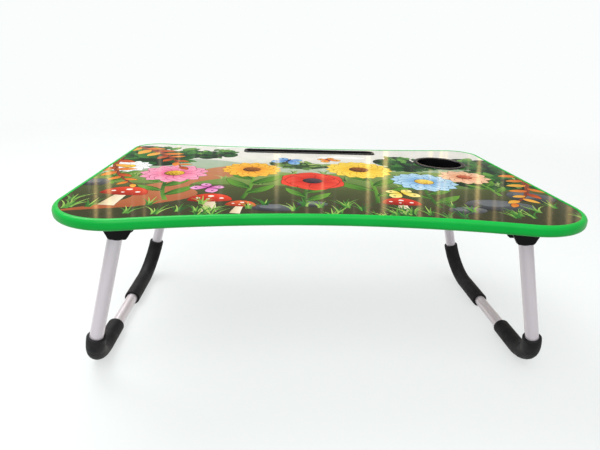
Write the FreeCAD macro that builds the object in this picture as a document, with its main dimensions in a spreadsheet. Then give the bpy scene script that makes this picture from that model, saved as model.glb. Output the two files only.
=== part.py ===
import FreeCAD, Part
import math
import os
import Sketcher

# A low laptop table: a moulded-edge board on two U-shaped tube legs that fold flat under it.
# Origin on the floor under the middle of the board, +X to the user's right, -Y to the user, +Z up.
# The legs stand open at rest, each splayed outward and leaning on the stop in its hinges.

V = FreeCAD.Vector
Y_AXIS = V(0, 1, 0)
Z_AXIS = V(0, 0, 1)
HALF_TURN = FreeCAD.Rotation(Z_AXIS, 180)
UNTURNED = FreeCAD.Rotation()
NEAR = 0.01

# Every size that can be set by itself, in millimetres or degrees.
DRIVING_SIZES = [
    ("table_length", 600, "board with its band, left to right"),
    ("table_depth", 400, "board with its band, front to rear"),
    ("table_height", 224, "floor to the top of the band"),
    ("front_corner_radius", 72, "two rounded front corners"),
    ("rear_corner_radius", 41, "two rounded rear corners"),
    ("front_hollow", 25, "how far the front edge curves in for the user"),
    ("rear_hollow", 14.5, "how far the rear edge curves in"),
    ("core_thickness", 10.5, "fibreboard core"),
    ("print_thickness", 0.5, "printed laminate on the core"),
    ("backing_thickness", 0.5, "plain laminate under the core"),
    ("laminate_gap", 0.1, "laminate edge to the band's lip"),
    ("band_wall", 3, "band, outside the core's edge"),
    ("lip_thickness", 1.2, "band lip over and under the core"),
    ("lip_width", 6.5, "band lip, in from the outer face"),
    ("band_rounding", 4.5, "rounded outer edges of the band"),
    ("band_gap", 0.15, "core edge to the band's wall"),
    ("tongue_thickness", 2, "band tongue pressed into the core"),
    ("tongue_depth", 7, "band tongue, in from the wall"),
    ("groove_gap", 0.15, "groove to tongue, all round"),
    ("cup_radius", 36, "cup holder body, outside"),
    ("cup_depth", 30, "cup holder below the printed top"),
    ("cup_wall", 1.8, "cup holder wall and floor"),
    ("cup_floor_rounding", 4, "outside edge of the cup's floor"),
    ("flange_thickness", 1.6, "flanges of the cup holder and the slot, above the print"),
    ("flange_rounding", 0.7, "top edge of both flanges"),
    ("cup_rim", 4.5, "cup flange beyond the body"),
    ("cup_side_margin", 54.5, "cup flange to the board's side"),
    ("cup_hinge_gap", 3.5, "cup body to the hinge behind it"),
    ("cutout_gap", 0.2, "cut-outs in the board, all round"),
    ("slot_length", 214, "tablet slot opening"),
    ("slot_width", 18, "tablet slot opening, front to rear"),
    ("slot_wall", 1.8, "slot insert wall and floor"),
    ("slot_rim", 5, "slot flange beyond the opening"),
    ("slot_corner_radius", 4, "corners of the slot opening"),
    ("slot_rear_margin", 18, "slot flange to the rear edge, mid-length"),
    ("tube_diameter", 16, "leg tube, outside"),
    ("tube_wall", 1, "leg tube"),
    ("bend_radius", 52, "leg tube bends, on the centre line"),
    ("leg_splay", 15.5, "degrees that a leg leans outward"),
    ("pivot_side_margin", 69.5, "hinge pin to the board's side"),
    ("front_upright_margin", 49, "front upright to the front edge"),
    ("rear_upright_margin", 62, "rear upright to the rear edge"),
    ("tube_start", 11, "hinge pin to the tube's cut end"),
    ("sleeve_wall", 3.35, "rubber foot sleeve"),
    ("sleeve_gap", 0.15, "sleeve bore to the tube"),
    ("sleeve_rounding", 1.4, "sleeve end edges"),
    ("front_sleeve_start", 4.5, "degrees into the bend where it starts"),
    ("front_sleeve_run", 42.5, "front sleeve along the floor bar"),
    ("rear_sleeve_start", 1, "degrees into the bend where it starts"),
    ("rear_sleeve_run", 67, "rear sleeve along the floor bar"),
    ("plate_length_in", 36, "hinge plate, inward of the pin"),
    ("plate_length_out", 31, "hinge plate, outward of the pin"),
    ("plate_thickness", 3, "hinge plate"),
    ("plate_corner_radius", 3, "hinge plate corners"),
    ("cheek_thickness", 4, "each cheek of the hinge"),
    ("cheek_drop", 8.5, "cheeks below the pin"),
    ("cheek_gap", 0.5, "cheek to knuckle, each side"),
    ("cheek_foot_in", 26, "cheek along the plate, inward of the pin"),
    ("cheek_foot_out", 15, "cheek along the plate, outward of the pin"),
    ("cheek_tip_in", 13, "lower edge of a cheek, inward of the pin"),
    ("cheek_tip_out", 6, "lower edge of a cheek, outward of the pin"),
    ("cheek_tip_radius", 3.5, "lower corners of the cheeks"),
    ("pin_radius", 2.5, "hinge pin"),
    ("pin_cover", 1.4, "what the outer cheek leaves over the pin's end"),
    ("pin_end_gap", 0.2, "pin to the floor of its blind hole"),
    ("pin_lead", 0.6, "chamfers at the pin's ends"),
    ("pin_cheek_gap", 0.1, "pin to cheek hole, radial"),
    ("pin_knuckle_gap", 0.06, "pin to knuckle bore, radial"),
    ("knuckle_extra", 1, "knuckle disc radius beyond the tube's"),
    ("heel_rise", 2.7, "stop heel above the knuckle disc"),
    ("heel_gap", 0.3, "stop heel to the hinge plate, open"),
    ("heel_near", 2, "stop face, its near edge from the pin"),
    ("heel_far", 9, "stop face, its far edge from the pin"),
    ("plug_length", 25, "knuckle plug inside the tube"),
    ("plug_gap", 0.1, "plug to the tube's bore, radial"),
    ("plug_lead", 1, "chamfer at the plug's end"),
    ("cut_overrun", 2, "how far a cut runs past what it opens"),
    ("screw_radius", 1.75, "bracket screw shank"),
    ("screw_gap", 0.1, "screw holes, radial"),
    ("screw_bite", 7, "bracket screw into the core"),
    ("screw_head_radius", 3.7, "bracket screw head"),
    ("screw_head_height", 1.9, "bracket screw head"),
    ("screw_spread", 14, "between the two screws of a row"),
    ("screw_inner_reach", 30.5, "inner screw row from the pin"),
    ("screw_outer_reach", 26.5, "outer screw row from the pin"),
]

# Heights and places that follow from them.
DERIVED_SIZES = [
    ("half_length", "=table_length / 2", "board centre to its side"),
    ("half_depth", "=table_depth / 2", "board centre to its front lobes"),
    ("core_top", "=table_height - lip_thickness", "top of the core"),
    ("core_bottom", "=core_top - core_thickness", "underside of the core"),
    ("band_bottom", "=core_bottom - lip_thickness", "underside of the band"),
    ("print_top", "=core_top + print_thickness", "printed surface"),
    ("underside", "=core_bottom - backing_thickness", "underside of the backing"),
    ("band_height", "=table_height - band_bottom", "band, top to bottom"),
    ("mid_height", "=core_bottom + core_thickness / 2", "middle of the core"),
    ("core_inset", "=band_wall + band_gap", "core edge from the outer face"),
    ("laminate_inset", "=lip_width + laminate_gap", "laminate edge from the outer face"),
    ("tongue_inset", "=band_wall + tongue_depth", "tongue tip from the outer face"),
    ("groove_inset", "=tongue_inset + groove_gap", "groove floor from the outer face"),
    ("front_arc_sum", "=((half_length - front_corner_radius)^2 + front_hollow^2) / (2 * front_hollow)",
     "radius of the front hollow and its corner together"),
    ("rear_arc_sum", "=((half_length - rear_corner_radius)^2 + rear_hollow^2) / (2 * rear_hollow)",
     "radius of the rear hollow and its corner together"),
    ("knuckle_radius", "=tube_diameter / 2 + knuckle_extra", "knuckle disc"),
    ("knuckle_width", "=tube_diameter", "knuckle disc along the pin"),
    ("heel_reach", "=knuckle_radius + heel_rise", "pin to the stop face"),
    ("plate_under", "=heel_reach + heel_gap", "pin to the plate's underside"),
    ("plate_top", "=plate_under + plate_thickness", "pin to the plate's upper face"),
    ("plate_length", "=plate_length_in + plate_length_out", "hinge plate, overall"),
    ("cheek_inner", "=knuckle_width / 2 + cheek_gap", "hinge middle to a cheek's inner face"),
    ("cheek_outer", "=cheek_inner + cheek_thickness", "hinge middle to a cheek's outer face"),
    ("housing_width", "=2 * cheek_outer", "hinge housing, front to rear"),
    ("pin_hole_depth", "=housing_width - pin_cover", "from the inner cheek's face to the blind end"),
    ("sleeve_bore", "=tube_diameter / 2 + sleeve_gap", "sleeve, inside radius"),
    ("sleeve_radius", "=sleeve_bore + sleeve_wall", "sleeve, outside radius"),
    ("pivot_x", "=half_length - pivot_side_margin", "hinge pins from the middle"),
    ("pivot_height", "=underside - plate_top", "hinge pins above the floor"),
    ("front_upright_y", "=front_upright_margin - half_depth", "front uprights"),
    ("rear_upright_y", "=half_depth - rear_upright_margin", "rear uprights"),
    ("leg_length", "=(pivot_height - sleeve_radius) / cos(leg_splay)", "pin to the floor bar's axis"),
    ("cup_x", "=half_length - cup_side_margin - cup_radius - cup_rim", "cup centre"),
    ("cup_y", "=rear_upright_y - cheek_outer - cup_hinge_gap - cup_radius", "cup centre"),
    ("cup_hole_radius", "=cup_radius + cutout_gap", "hole for the cup"),
    ("cup_flange_radius", "=cup_radius + cup_rim", "cup flange"),
    ("flange_under", "=-print_thickness", "flanges seat on the core, below the print"),
    ("slot_y", "=half_depth - rear_hollow - slot_rear_margin - slot_rim - slot_width / 2",
     "slot centre"),
    ("slot_body_length", "=slot_length + 2 * slot_wall", "slot insert in the board"),
    ("slot_body_width", "=slot_width + 2 * slot_wall", "slot insert in the board"),
    ("slot_depth", "=print_top - underside", "slot insert, flush with the underside"),
    ("slot_body_corner", "=slot_corner_radius + slot_wall", "slot insert in the board"),
    ("slot_hole_length", "=slot_body_length + 2 * cutout_gap", "hole for the slot insert"),
    ("slot_hole_width", "=slot_body_width + 2 * cutout_gap", "hole for the slot insert"),
    ("slot_hole_corner", "=slot_body_corner + cutout_gap", "hole for the slot insert"),
    ("slot_flange_length", "=slot_length + 2 * slot_rim", "slot flange, overall"),
    ("slot_flange_width", "=slot_width + 2 * slot_rim", "slot flange, overall"),
    ("slot_flange_corner", "=slot_corner_radius + slot_rim", "slot flange corners"),
    ("screw_shank", "=plate_thickness + backing_thickness + screw_bite", "bracket screw below its head"),
    ("screw_hole_radius", "=screw_radius + screw_gap", "screw holes"),
    ("screw_hole_depth", "=screw_bite + screw_gap", "screw holes in the core"),
]

doc = FreeCAD.newDocument("LaptopTable")
sheet = doc.addObject("Spreadsheet::Sheet", "Sizes")
for row, (alias, content, note) in enumerate(DRIVING_SIZES + DERIVED_SIZES, 1):
    sheet.set(f"A{row}", note)
    sheet.set(f"B{row}", str(content))
    sheet.setAlias(f"B{row}", alias)
doc.recompute()


def value(expression):
    """What an expression on the sheet comes to, as a plain number."""
    return float(sheet.evalExpression(expression))


def make_body(name):
    """An empty body, whose label is the sub-part's name."""
    body = doc.addObject("PartDesign::Body", name)
    body.Label = name
    return body


def add_sketch(body, name, plane, lift=None):
    """A sketch on one of the body's own origin planes, moved along its normal where lift says so."""
    support = next(p for p in body.Origin.OriginFeatures if p.Role == plane)
    sketch = body.newObject("Sketcher::SketchObject", name)
    sketch.AttachmentSupport = [(support, "")]
    sketch.MapMode = "FlatFace"
    if lift:
        sketch.setExpression("AttachmentOffset.Base.z", lift)
    return sketch


def dimension(sketch, kind, refs, expression):
    """A dimension in a sketch, bound to the sheet."""
    index = sketch.addConstraint(Sketcher.Constraint(kind, *refs, value(expression)))
    sketch.setExpression(f"Constraints[{index}]", expression)


def place(sketch, geometry, position, x_expression, y_expression):
    """Fixes one point of a sketch at a named distance from its origin along each axis."""
    dimension(sketch, "DistanceX", (-1, 1, geometry, position), x_expression)
    dimension(sketch, "DistanceY", (-1, 1, geometry, position), y_expression)


def draw_circle(sketch, x_expression, y_expression, radius):
    """A circle at a named place."""
    centre = V(value(x_expression), value(y_expression), 0)
    circle = sketch.addGeometry(Part.Circle(centre, Z_AXIS, value(radius)), False)
    place(sketch, circle, 3, x_expression, y_expression)
    dimension(sketch, "Radius", (circle,), radius)
    return circle


def draw_outline(sketch, points):
    """A closed outline of straight sides through named places, each an x and a y expression."""
    corners = [V(value(x), value(y), 0) for x, y in points]
    first = sketch.GeometryCount
    for start, end in zip(corners, corners[1:] + corners[:1]):
        sketch.addGeometry(Part.LineSegment(start, end), False)
    for side in range(len(points)):
        following = first + (side + 1) % len(points)
        sketch.addConstraint(
            Sketcher.Constraint("Coincident", first + side, 2, following, 1)
        )
        place(sketch, first + side, 1, *points[side])


def arc(centre_x, centre_y, radius, start, end):
    """An anticlockwise arc, its angles in radians."""
    return Part.ArcOfCircle(Part.Circle(V(centre_x, centre_y, 0), Z_AXIS, radius), start, end)


def draw_rectangle(sketch, x_centre, y_centre, length, width, corner):
    """A round-cornered rectangle about a named place: each side is tangent to the arcs at its ends."""
    first = sketch.GeometryCount
    left = f"{x_centre} - {length} / 2"
    right = f"{x_centre} + {length} / 2"
    front = f"{y_centre} - {width} / 2"
    rear = f"{y_centre} + {width} / 2"
    low_x, high_x, low_y, high_y = (value(limit) for limit in (left, right, front, rear))
    radius = value(corner)
    quarter = math.pi / 2
    sketch.addGeometry([
        Part.LineSegment(V(low_x + radius, low_y, 0), V(high_x - radius, low_y, 0)),
        arc(high_x - radius, low_y + radius, radius, 3 * quarter, 4 * quarter),
        Part.LineSegment(V(high_x, low_y + radius, 0), V(high_x, high_y - radius, 0)),
        arc(high_x - radius, high_y - radius, radius, 0, quarter),
        Part.LineSegment(V(high_x - radius, high_y, 0), V(low_x + radius, high_y, 0)),
        arc(low_x + radius, high_y - radius, radius, quarter, 2 * quarter),
        Part.LineSegment(V(low_x, high_y - radius, 0), V(low_x, low_y + radius, 0)),
        arc(low_x + radius, low_y + radius, radius, 2 * quarter, 3 * quarter),
    ], False)
    pieces = list(range(first, first + 8))
    for piece, following in zip(pieces, pieces[1:] + pieces[:1]):
        sketch.addConstraint(Sketcher.Constraint("Tangent", piece, 2, following, 1))
    for side, direction in zip(pieces[0::2], ("Horizontal", "Vertical", "Horizontal", "Vertical")):
        sketch.addConstraint(Sketcher.Constraint(direction, side))
    for rounded in pieces[3::2]:
        sketch.addConstraint(Sketcher.Constraint("Equal", pieces[1], rounded))
    dimension(sketch, "Radius", (pieces[1],), corner)
    dimension(sketch, "DistanceY", (-1, 1, pieces[0], 1), front)
    dimension(sketch, "DistanceX", (-1, 1, pieces[2], 1), right)
    dimension(sketch, "DistanceY", (-1, 1, pieces[4], 1), rear)
    dimension(sketch, "DistanceX", (-1, 1, pieces[6], 1), left)


def draw_table_outline(sketch, inset):
    """The board's outline, inset from the band's outer face: two sides, four corners, two hollows.

    Each long hollow arc is tangent to the corner arcs at its ends, so the joint lies on the line
    between the two centres.
    """
    first = sketch.GeometryCount
    inside = value(inset)
    side = value("Sizes.half_length")
    front = value("Sizes.half_depth")
    front_corner = value("Sizes.front_corner_radius")
    rear_corner = value("Sizes.rear_corner_radius")
    front_sum = value("Sizes.front_arc_sum")
    rear_sum = value("Sizes.rear_arc_sum")
    front_turn = math.atan2(front_sum - value("Sizes.front_hollow"), side - front_corner)
    rear_turn = math.atan2(rear_sum - value("Sizes.rear_hollow"), side - rear_corner)
    front_centre = value("Sizes.front_hollow") - front - (front_sum - front_corner)
    rear_centre = front - value("Sizes.rear_hollow") + (rear_sum - rear_corner)
    turn = 2 * math.pi
    half_turn = math.pi
    shapes = [
        arc(0, front_centre, front_sum - front_corner + inside, front_turn, half_turn - front_turn),
        arc(side - front_corner, front_corner - front, front_corner - inside,
            half_turn + front_turn, turn),
        Part.LineSegment(V(side - inside, front_corner - front, 0),
                         V(side - inside, front - rear_corner, 0)),
        arc(side - rear_corner, front - rear_corner, rear_corner - inside, 0, half_turn - rear_turn),
        arc(0, rear_centre, rear_sum - rear_corner + inside, half_turn + rear_turn, turn - rear_turn),
        arc(rear_corner - side, front - rear_corner, rear_corner - inside, rear_turn, half_turn),
        Part.LineSegment(V(inside - side, front - rear_corner, 0),
                         V(inside - side, front_corner - front, 0)),
        arc(front_corner - side, front_corner - front, front_corner - inside,
            half_turn, turn - front_turn),
    ]
    sketch.addGeometry(shapes, False)
    hollow_front, front_right, right, rear_right, hollow_rear, rear_left, left, front_left = range(
        first, first + len(shapes)
    )
    joints = [
        (hollow_front, 1, front_right, 1),
        (front_right, 2, right, 1),
        (right, 2, rear_right, 1),
        (rear_right, 2, hollow_rear, 2),
        (hollow_rear, 1, rear_left, 1),
        (rear_left, 2, left, 1),
        (left, 2, front_left, 1),
        (front_left, 2, hollow_front, 2),
    ]
    for joint in joints:
        sketch.addConstraint(Sketcher.Constraint("Tangent", *joint))
    sketch.addConstraint(Sketcher.Constraint("Vertical", right))
    sketch.addConstraint(Sketcher.Constraint("Vertical", left))
    sketch.addConstraint(Sketcher.Constraint("Equal", front_right, front_left))
    sketch.addConstraint(Sketcher.Constraint("Equal", rear_right, rear_left))
    dimension(sketch, "DistanceX", (-1, 1, right, 1), f"Sizes.half_length - {inset}")
    dimension(sketch, "DistanceX", (left, 1, -1, 1), f"Sizes.half_length - {inset}")
    dimension(sketch, "Radius", (front_right,), f"Sizes.front_corner_radius - {inset}")
    dimension(sketch, "Radius", (rear_right,), f"Sizes.rear_corner_radius - {inset}")
    for corner in (front_right, front_left):
        dimension(sketch, "DistanceY", (corner, 3, -1, 1), "Sizes.half_depth - Sizes.front_corner_radius")
    for corner in (rear_right, rear_left):
        dimension(sketch, "DistanceY", (-1, 1, corner, 3), "Sizes.half_depth - Sizes.rear_corner_radius")
    dimension(sketch, "Radius", (hollow_front,),
              f"Sizes.front_arc_sum - Sizes.front_corner_radius + {inset}")
    dimension(sketch, "Radius", (hollow_rear,),
              f"Sizes.rear_arc_sum - Sizes.rear_corner_radius + {inset}")


def add_pad(body, name, sketch, length, centred=False, downward=False):
    """A pad from a sketch, along its normal, against it, or half each way."""
    pad = body.newObject("PartDesign::Pad", name)
    pad.Profile = sketch
    pad.setExpression("Length", length)
    pad.SideType = "Symmetric" if centred else "One side"
    pad.Reversed = downward
    doc.recompute()
    return pad


def add_pocket(body, name, sketch, length, centred=False, upward=False):
    """A pocket that has to take material away, against the sketch's normal unless upward."""
    before = body.Shape.Volume
    pocket = body.newObject("PartDesign::Pocket", name)
    pocket.Profile = sketch
    pocket.setExpression("Length", length)
    pocket.SideType = "Symmetric" if centred else "One side"
    pocket.Reversed = upward
    doc.recompute()
    if not body.Shape.Volume < before:
        raise RuntimeError(f"{name} cuts nothing")
    return pocket


def add_turned(body, name, kind, sketch, axis):
    """A full revolution or groove of a sketch about one of its own axes."""
    feature = body.newObject(f"PartDesign::{kind}", name)
    feature.Profile = sketch
    feature.ReferenceAxis = (sketch, [axis])
    doc.recompute()
    return feature


def edges_where(feature, test):
    """Names of the edges of a feature whose middle point and bounds pass a test."""
    return [f"Edge{number}" for number, edge in enumerate(feature.Shape.Edges, 1) if test(edge)]


def add_edge_finish(body, name, kind, feature, edges, size):
    """A fillet or chamfer on named edges of a feature."""
    finish = body.newObject(f"PartDesign::{kind}", name)
    finish.Base = (feature, edges)
    finish.setExpression("Radius" if kind == "Fillet" else "Size", size)
    doc.recompute()
    return finish


def lies_at(edge, axis, position):
    """Whether an edge lies in the plane at a position along one axis."""
    box = edge.BoundBox
    low, high = {"x": (box.XMin, box.XMax), "y": (box.YMin, box.YMax), "z": (box.ZMin, box.ZMax)}[axis]
    return abs(low - position) < NEAR and abs(high - position) < NEAR


def set_place(body, x_expression, y_expression, z_expression, rotation=UNTURNED):
    """Puts a finished body at a named place."""
    body.Placement = FreeCAD.Placement(V(0, 0, 0), rotation)
    for letter, expression in zip("xyz", (x_expression, y_expression, z_expression)):
        body.setExpression(f"Placement.Base.{letter}", expression)


SIDES = {"left": -1, "right": 1}
ENDS = {"front": "Sizes.front_upright_y", "rear": "Sizes.rear_upright_y"}


def splayed(side):
    """The lean of a leg on one side: its foot goes outward."""
    return FreeCAD.Rotation(Y_AXIS, -SIDES[side] * value("Sizes.leg_splay"))


def pivot_x(side):
    """Where the hinge pins of a side are, as an expression."""
    return "Sizes.pivot_x" if side == "right" else "-Sizes.pivot_x"


def screw_places():
    """The sixteen screws of the four hinges, each an x and a y expression."""
    places = []
    for side, sign in (("right", ""), ("left", "-")):
        for reach in ("Sizes.pivot_x - Sizes.screw_inner_reach", "Sizes.pivot_x + Sizes.screw_outer_reach"):
            for upright in ENDS.values():
                for half in ("- Sizes.screw_spread / 2", "+ Sizes.screw_spread / 2"):
                    places.append((f"{sign}({reach})", f"{upright} {half}"))
    return places


def cut_screw_holes(body, lift, depth):
    """Sixteen screw holes up into a board or its backing."""
    sketch = add_sketch(body, f"{body.Name}_screw_holes", "XY_Plane", lift)
    for x_expression, y_expression in screw_places():
        draw_circle(sketch, x_expression, y_expression, "Sizes.screw_hole_radius")
    add_pocket(body, f"{body.Name}_screw_drilling", sketch, depth, upward=True)


def cut_insert_holes(body, lift, depth, part="hole"):
    """The round hole for the cup and the long one for the slot, down through a layer of the board.

    With part as flange they are as large as the flanges, which are let into the printed laminate.
    """
    gap = "Sizes.laminate_gap" if part == "flange" else "0"
    sketch = add_sketch(body, f"{body.Name}_cutouts", "XY_Plane", lift)
    draw_circle(sketch, "Sizes.cup_x", "Sizes.cup_y", f"Sizes.cup_{part}_radius + {gap}")
    draw_rectangle(sketch, "0", "Sizes.slot_y", f"(Sizes.slot_{part}_length + 2 * {gap})",
                   f"(Sizes.slot_{part}_width + 2 * {gap})", f"Sizes.slot_{part}_corner + {gap}")
    add_pocket(body, f"{body.Name}_routing", sketch, depth)


def make_board_core():
    """The fibreboard: grooved all round for the band's tongue, routed for the cup and the slot."""
    body = make_body("board_core")
    outline = add_sketch(body, "core_outline", "XY_Plane", "Sizes.core_bottom")
    draw_table_outline(outline, "Sizes.core_inset")
    add_pad(body, "core_slab", outline, "Sizes.core_thickness")
    groove = add_sketch(body, "core_groove_outline", "XY_Plane", "Sizes.mid_height")
    draw_table_outline(groove, "Sizes.groove_gap")
    draw_table_outline(groove, "Sizes.groove_inset")
    add_pocket(body, "core_groove", groove, "Sizes.tongue_thickness + 2 * Sizes.groove_gap", centred=True)
    cut_insert_holes(body, "Sizes.core_top", "Sizes.core_thickness")
    cut_screw_holes(body, "Sizes.core_bottom", "Sizes.screw_hole_depth")
    return body


def make_laminate(name, lift, thickness, part):
    """A laminate sheet on one face of the core, ending at the band's lip and at the inserts."""
    body = make_body(name)
    outline = add_sketch(body, f"{name}_outline", "XY_Plane", lift)
    draw_table_outline(outline, "Sizes.laminate_inset")
    add_pad(body, f"{name}_sheet", outline, thickness)
    cut_insert_holes(body, f"{lift} + {thickness}", thickness, part)
    return body


def make_backing():
    """The plain laminate underneath, with the screw holes of the hinges."""
    body = make_laminate("backing_laminate", "Sizes.underside", "Sizes.backing_thickness", "hole")
    cut_screw_holes(body, "Sizes.underside", "Sizes.backing_thickness")
    return body


def make_edge_band():
    """The soft band round the board: a rounded wall, a lip over each face and a tongue between them."""
    body = make_body("edge_band")
    outer = add_sketch(body, "band_outline", "XY_Plane", "Sizes.band_bottom")
    draw_table_outline(outer, "0")
    block = add_pad(body, "band_block", outer, "Sizes.band_height")
    faces = [value("Sizes.table_height"), value("Sizes.band_bottom")]
    edges = edges_where(block, lambda e: any(lies_at(e, "z", height) for height in faces))
    add_edge_finish(body, "band_roundings", "Fillet", block, edges, "Sizes.band_rounding")
    opening = add_sketch(body, "lip_outline", "XY_Plane", "Sizes.table_height")
    draw_table_outline(opening, "Sizes.lip_width")
    add_pocket(body, "band_opening", opening, "Sizes.band_height")
    channel = add_sketch(body, "channel_outline", "XY_Plane", "Sizes.mid_height")
    draw_table_outline(channel, "Sizes.band_wall")
    add_pocket(body, "band_channel", channel, "Sizes.core_thickness", centred=True)
    tongue = add_sketch(body, "tongue_outline", "XY_Plane", "Sizes.mid_height")
    draw_table_outline(tongue, "Sizes.band_wall")
    draw_table_outline(tongue, "Sizes.tongue_inset")
    add_pad(body, "band_tongue", tongue, "Sizes.tongue_thickness", centred=True)
    return body


def make_cup_holder():
    """The cup holder: a straight-walled cup whose flange stands above the print."""
    body = make_body("cup_holder")
    section = add_sketch(body, "cup_section", "XZ_Plane")
    draw_outline(section, [
        ("0", "-Sizes.cup_depth"),
        ("Sizes.cup_radius", "-Sizes.cup_depth"),
        ("Sizes.cup_radius", "Sizes.flange_under"),
        ("Sizes.cup_flange_radius", "Sizes.flange_under"),
        ("Sizes.cup_flange_radius", "Sizes.flange_thickness"),
        ("Sizes.cup_radius - Sizes.cup_wall", "Sizes.flange_thickness"),
        ("Sizes.cup_radius - Sizes.cup_wall", "Sizes.cup_wall - Sizes.cup_depth"),
        ("0", "Sizes.cup_wall - Sizes.cup_depth"),
    ])
    cup = add_turned(body, "cup_turned", "Revolution", section, "V_Axis")
    top = value("Sizes.flange_thickness")
    rims = add_edge_finish(body, "cup_rim_roundings", "Fillet", cup,
                           edges_where(cup, lambda e: lies_at(e, "z", top)), "Sizes.flange_rounding")
    floor = -value("Sizes.cup_depth")
    outer = add_edge_finish(body, "cup_floor_rounding", "Fillet", rims,
                            edges_where(rims, lambda e: lies_at(e, "z", floor)), "Sizes.cup_floor_rounding")
    inner_floor = value("Sizes.cup_wall") + floor
    add_edge_finish(body, "cup_inner_rounding", "Fillet", outer,
                    edges_where(outer, lambda e: lies_at(e, "z", inner_floor)),
                    "Sizes.cup_floor_rounding - Sizes.cup_wall")
    set_place(body, "Sizes.cup_x", "Sizes.cup_y", "Sizes.print_top")
    return body


def make_tablet_slot():
    """The slot insert: a long shallow tray that a tablet or papers stand in."""
    body = make_body("tablet_slot")
    flange_outline = add_sketch(body, "slot_flange_outline", "XY_Plane", "Sizes.flange_under")
    draw_rectangle(flange_outline, "0", "0", "Sizes.slot_flange_length", "Sizes.slot_flange_width",
                   "Sizes.slot_flange_corner")
    flange = add_pad(body, "slot_flange", flange_outline, "Sizes.flange_thickness - Sizes.flange_under")
    top = value("Sizes.flange_thickness")
    add_edge_finish(body, "slot_flange_rounding", "Fillet", flange,
                    edges_where(flange, lambda e: lies_at(e, "z", top)), "Sizes.flange_rounding")
    tray = add_sketch(body, "slot_tray_outline", "XY_Plane")
    draw_rectangle(tray, "0", "0", "Sizes.slot_body_length", "Sizes.slot_body_width",
                   "Sizes.slot_body_corner")
    add_pad(body, "slot_tray", tray, "Sizes.slot_depth", downward=True)
    opening = add_sketch(body, "slot_opening_outline", "XY_Plane", "Sizes.flange_thickness")
    draw_rectangle(opening, "0", "0", "Sizes.slot_length", "Sizes.slot_width", "Sizes.slot_corner_radius")
    add_pocket(body, "slot_opening", opening,
               "Sizes.flange_thickness + Sizes.slot_depth - Sizes.slot_wall")
    set_place(body, "0", "Sizes.slot_y", "Sizes.print_top")
    return body


def blind_side(side, end):
    """Whether a hinge's closed cheek, the one nearer the board's edge, is at the +Y of its own body."""
    return (side == "left") == (end == "front")


def make_hinge_housing(side, end):
    """A hinge housing: a screwed plate with two flaring cheeks and a pin hole, blind in one of them."""
    name = f"hinge_housing_{end}_{side}"
    body = make_body(name)
    cheek = add_sketch(body, f"{name}_cheek_outline", "XZ_Plane")
    draw_outline(cheek, [
        ("-Sizes.cheek_foot_in", "Sizes.plate_under"),
        ("-Sizes.cheek_tip_in", "-Sizes.cheek_drop"),
        ("Sizes.cheek_tip_out", "-Sizes.cheek_drop"),
        ("Sizes.cheek_foot_out", "Sizes.plate_under"),
    ])
    block = add_pad(body, f"{name}_block", cheek, "Sizes.housing_width", centred=True)
    drop = -value("Sizes.cheek_drop")
    lower = edges_where(block, lambda e: e.BoundBox.YLength > value("Sizes.cheek_outer")
                        and abs(e.BoundBox.ZMin - drop) < NEAR)
    add_edge_finish(body, f"{name}_tips", "Fillet", block, lower, "Sizes.cheek_tip_radius")
    gap = add_sketch(body, f"{name}_gap_outline", "YZ_Plane")
    draw_outline(gap, [
        ("-Sizes.cheek_inner", "-Sizes.cheek_drop - Sizes.cut_overrun"),
        ("Sizes.cheek_inner", "-Sizes.cheek_drop - Sizes.cut_overrun"),
        ("Sizes.cheek_inner", "Sizes.plate_under"),
        ("-Sizes.cheek_inner", "Sizes.plate_under"),
    ])
    add_pocket(body, f"{name}_gap", gap, "2 * Sizes.plate_length", centred=True)
    plate = add_sketch(body, f"{name}_plate_outline", "XY_Plane", "Sizes.plate_under")
    draw_rectangle(plate, "(Sizes.plate_length_out - Sizes.plate_length_in) / 2", "0",
                   "Sizes.plate_length", "Sizes.housing_width", "Sizes.plate_corner_radius")
    add_pad(body, f"{name}_plate", plate, "Sizes.plate_thickness")
    holes = add_sketch(body, f"{name}_screw_holes", "XY_Plane", "Sizes.plate_under")
    for reach in ("-Sizes.screw_inner_reach", "Sizes.screw_outer_reach"):
        for half in ("-Sizes.screw_spread / 2", "Sizes.screw_spread / 2"):
            draw_circle(holes, reach, half, "Sizes.screw_hole_radius")
    add_pocket(body, f"{name}_screw_drilling", holes, "Sizes.plate_thickness", upward=True)
    blind_at_plus = blind_side(side, end)
    mouth = "Sizes.cheek_outer" if blind_at_plus else "-Sizes.cheek_outer"
    pin_hole = add_sketch(body, f"{name}_pin_hole", "XZ_Plane", mouth)
    draw_circle(pin_hole, "0", "0", "Sizes.pin_radius + Sizes.pin_cheek_gap")
    add_pocket(body, f"{name}_pin_drilling", pin_hole, "Sizes.pin_hole_depth", upward=not blind_at_plus)
    set_place(body, pivot_x(side), ENDS[end], "Sizes.pivot_height",
              HALF_TURN if side == "left" else UNTURNED)
    return body


def make_hinge_pin(side, end):
    """A steel pin, driven in flush from the inner cheek until it stands in the outer one's blind hole.

    It is drawn with its blind end towards +Y, so the front pins are turned round.
    """
    name = f"hinge_pin_{end}_{side}"
    body = make_body(name)
    section = add_sketch(body, f"{name}_section", "XY_Plane")
    mouth = "-Sizes.cheek_outer"
    tip = "Sizes.cheek_outer - Sizes.pin_cover - Sizes.pin_end_gap"
    draw_outline(section, [
        ("0", mouth),
        ("Sizes.pin_radius - Sizes.pin_lead", mouth),
        ("Sizes.pin_radius", f"{mouth} + Sizes.pin_lead"),
        ("Sizes.pin_radius", f"{tip} - Sizes.pin_lead"),
        ("Sizes.pin_radius - Sizes.pin_lead", tip),
        ("0", tip),
    ])
    add_turned(body, f"{name}_turned", "Revolution", section, "V_Axis")
    set_place(body, pivot_x(side), ENDS[end], "Sizes.pivot_height",
              HALF_TURN if end == "front" else UNTURNED)
    return body


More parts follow.
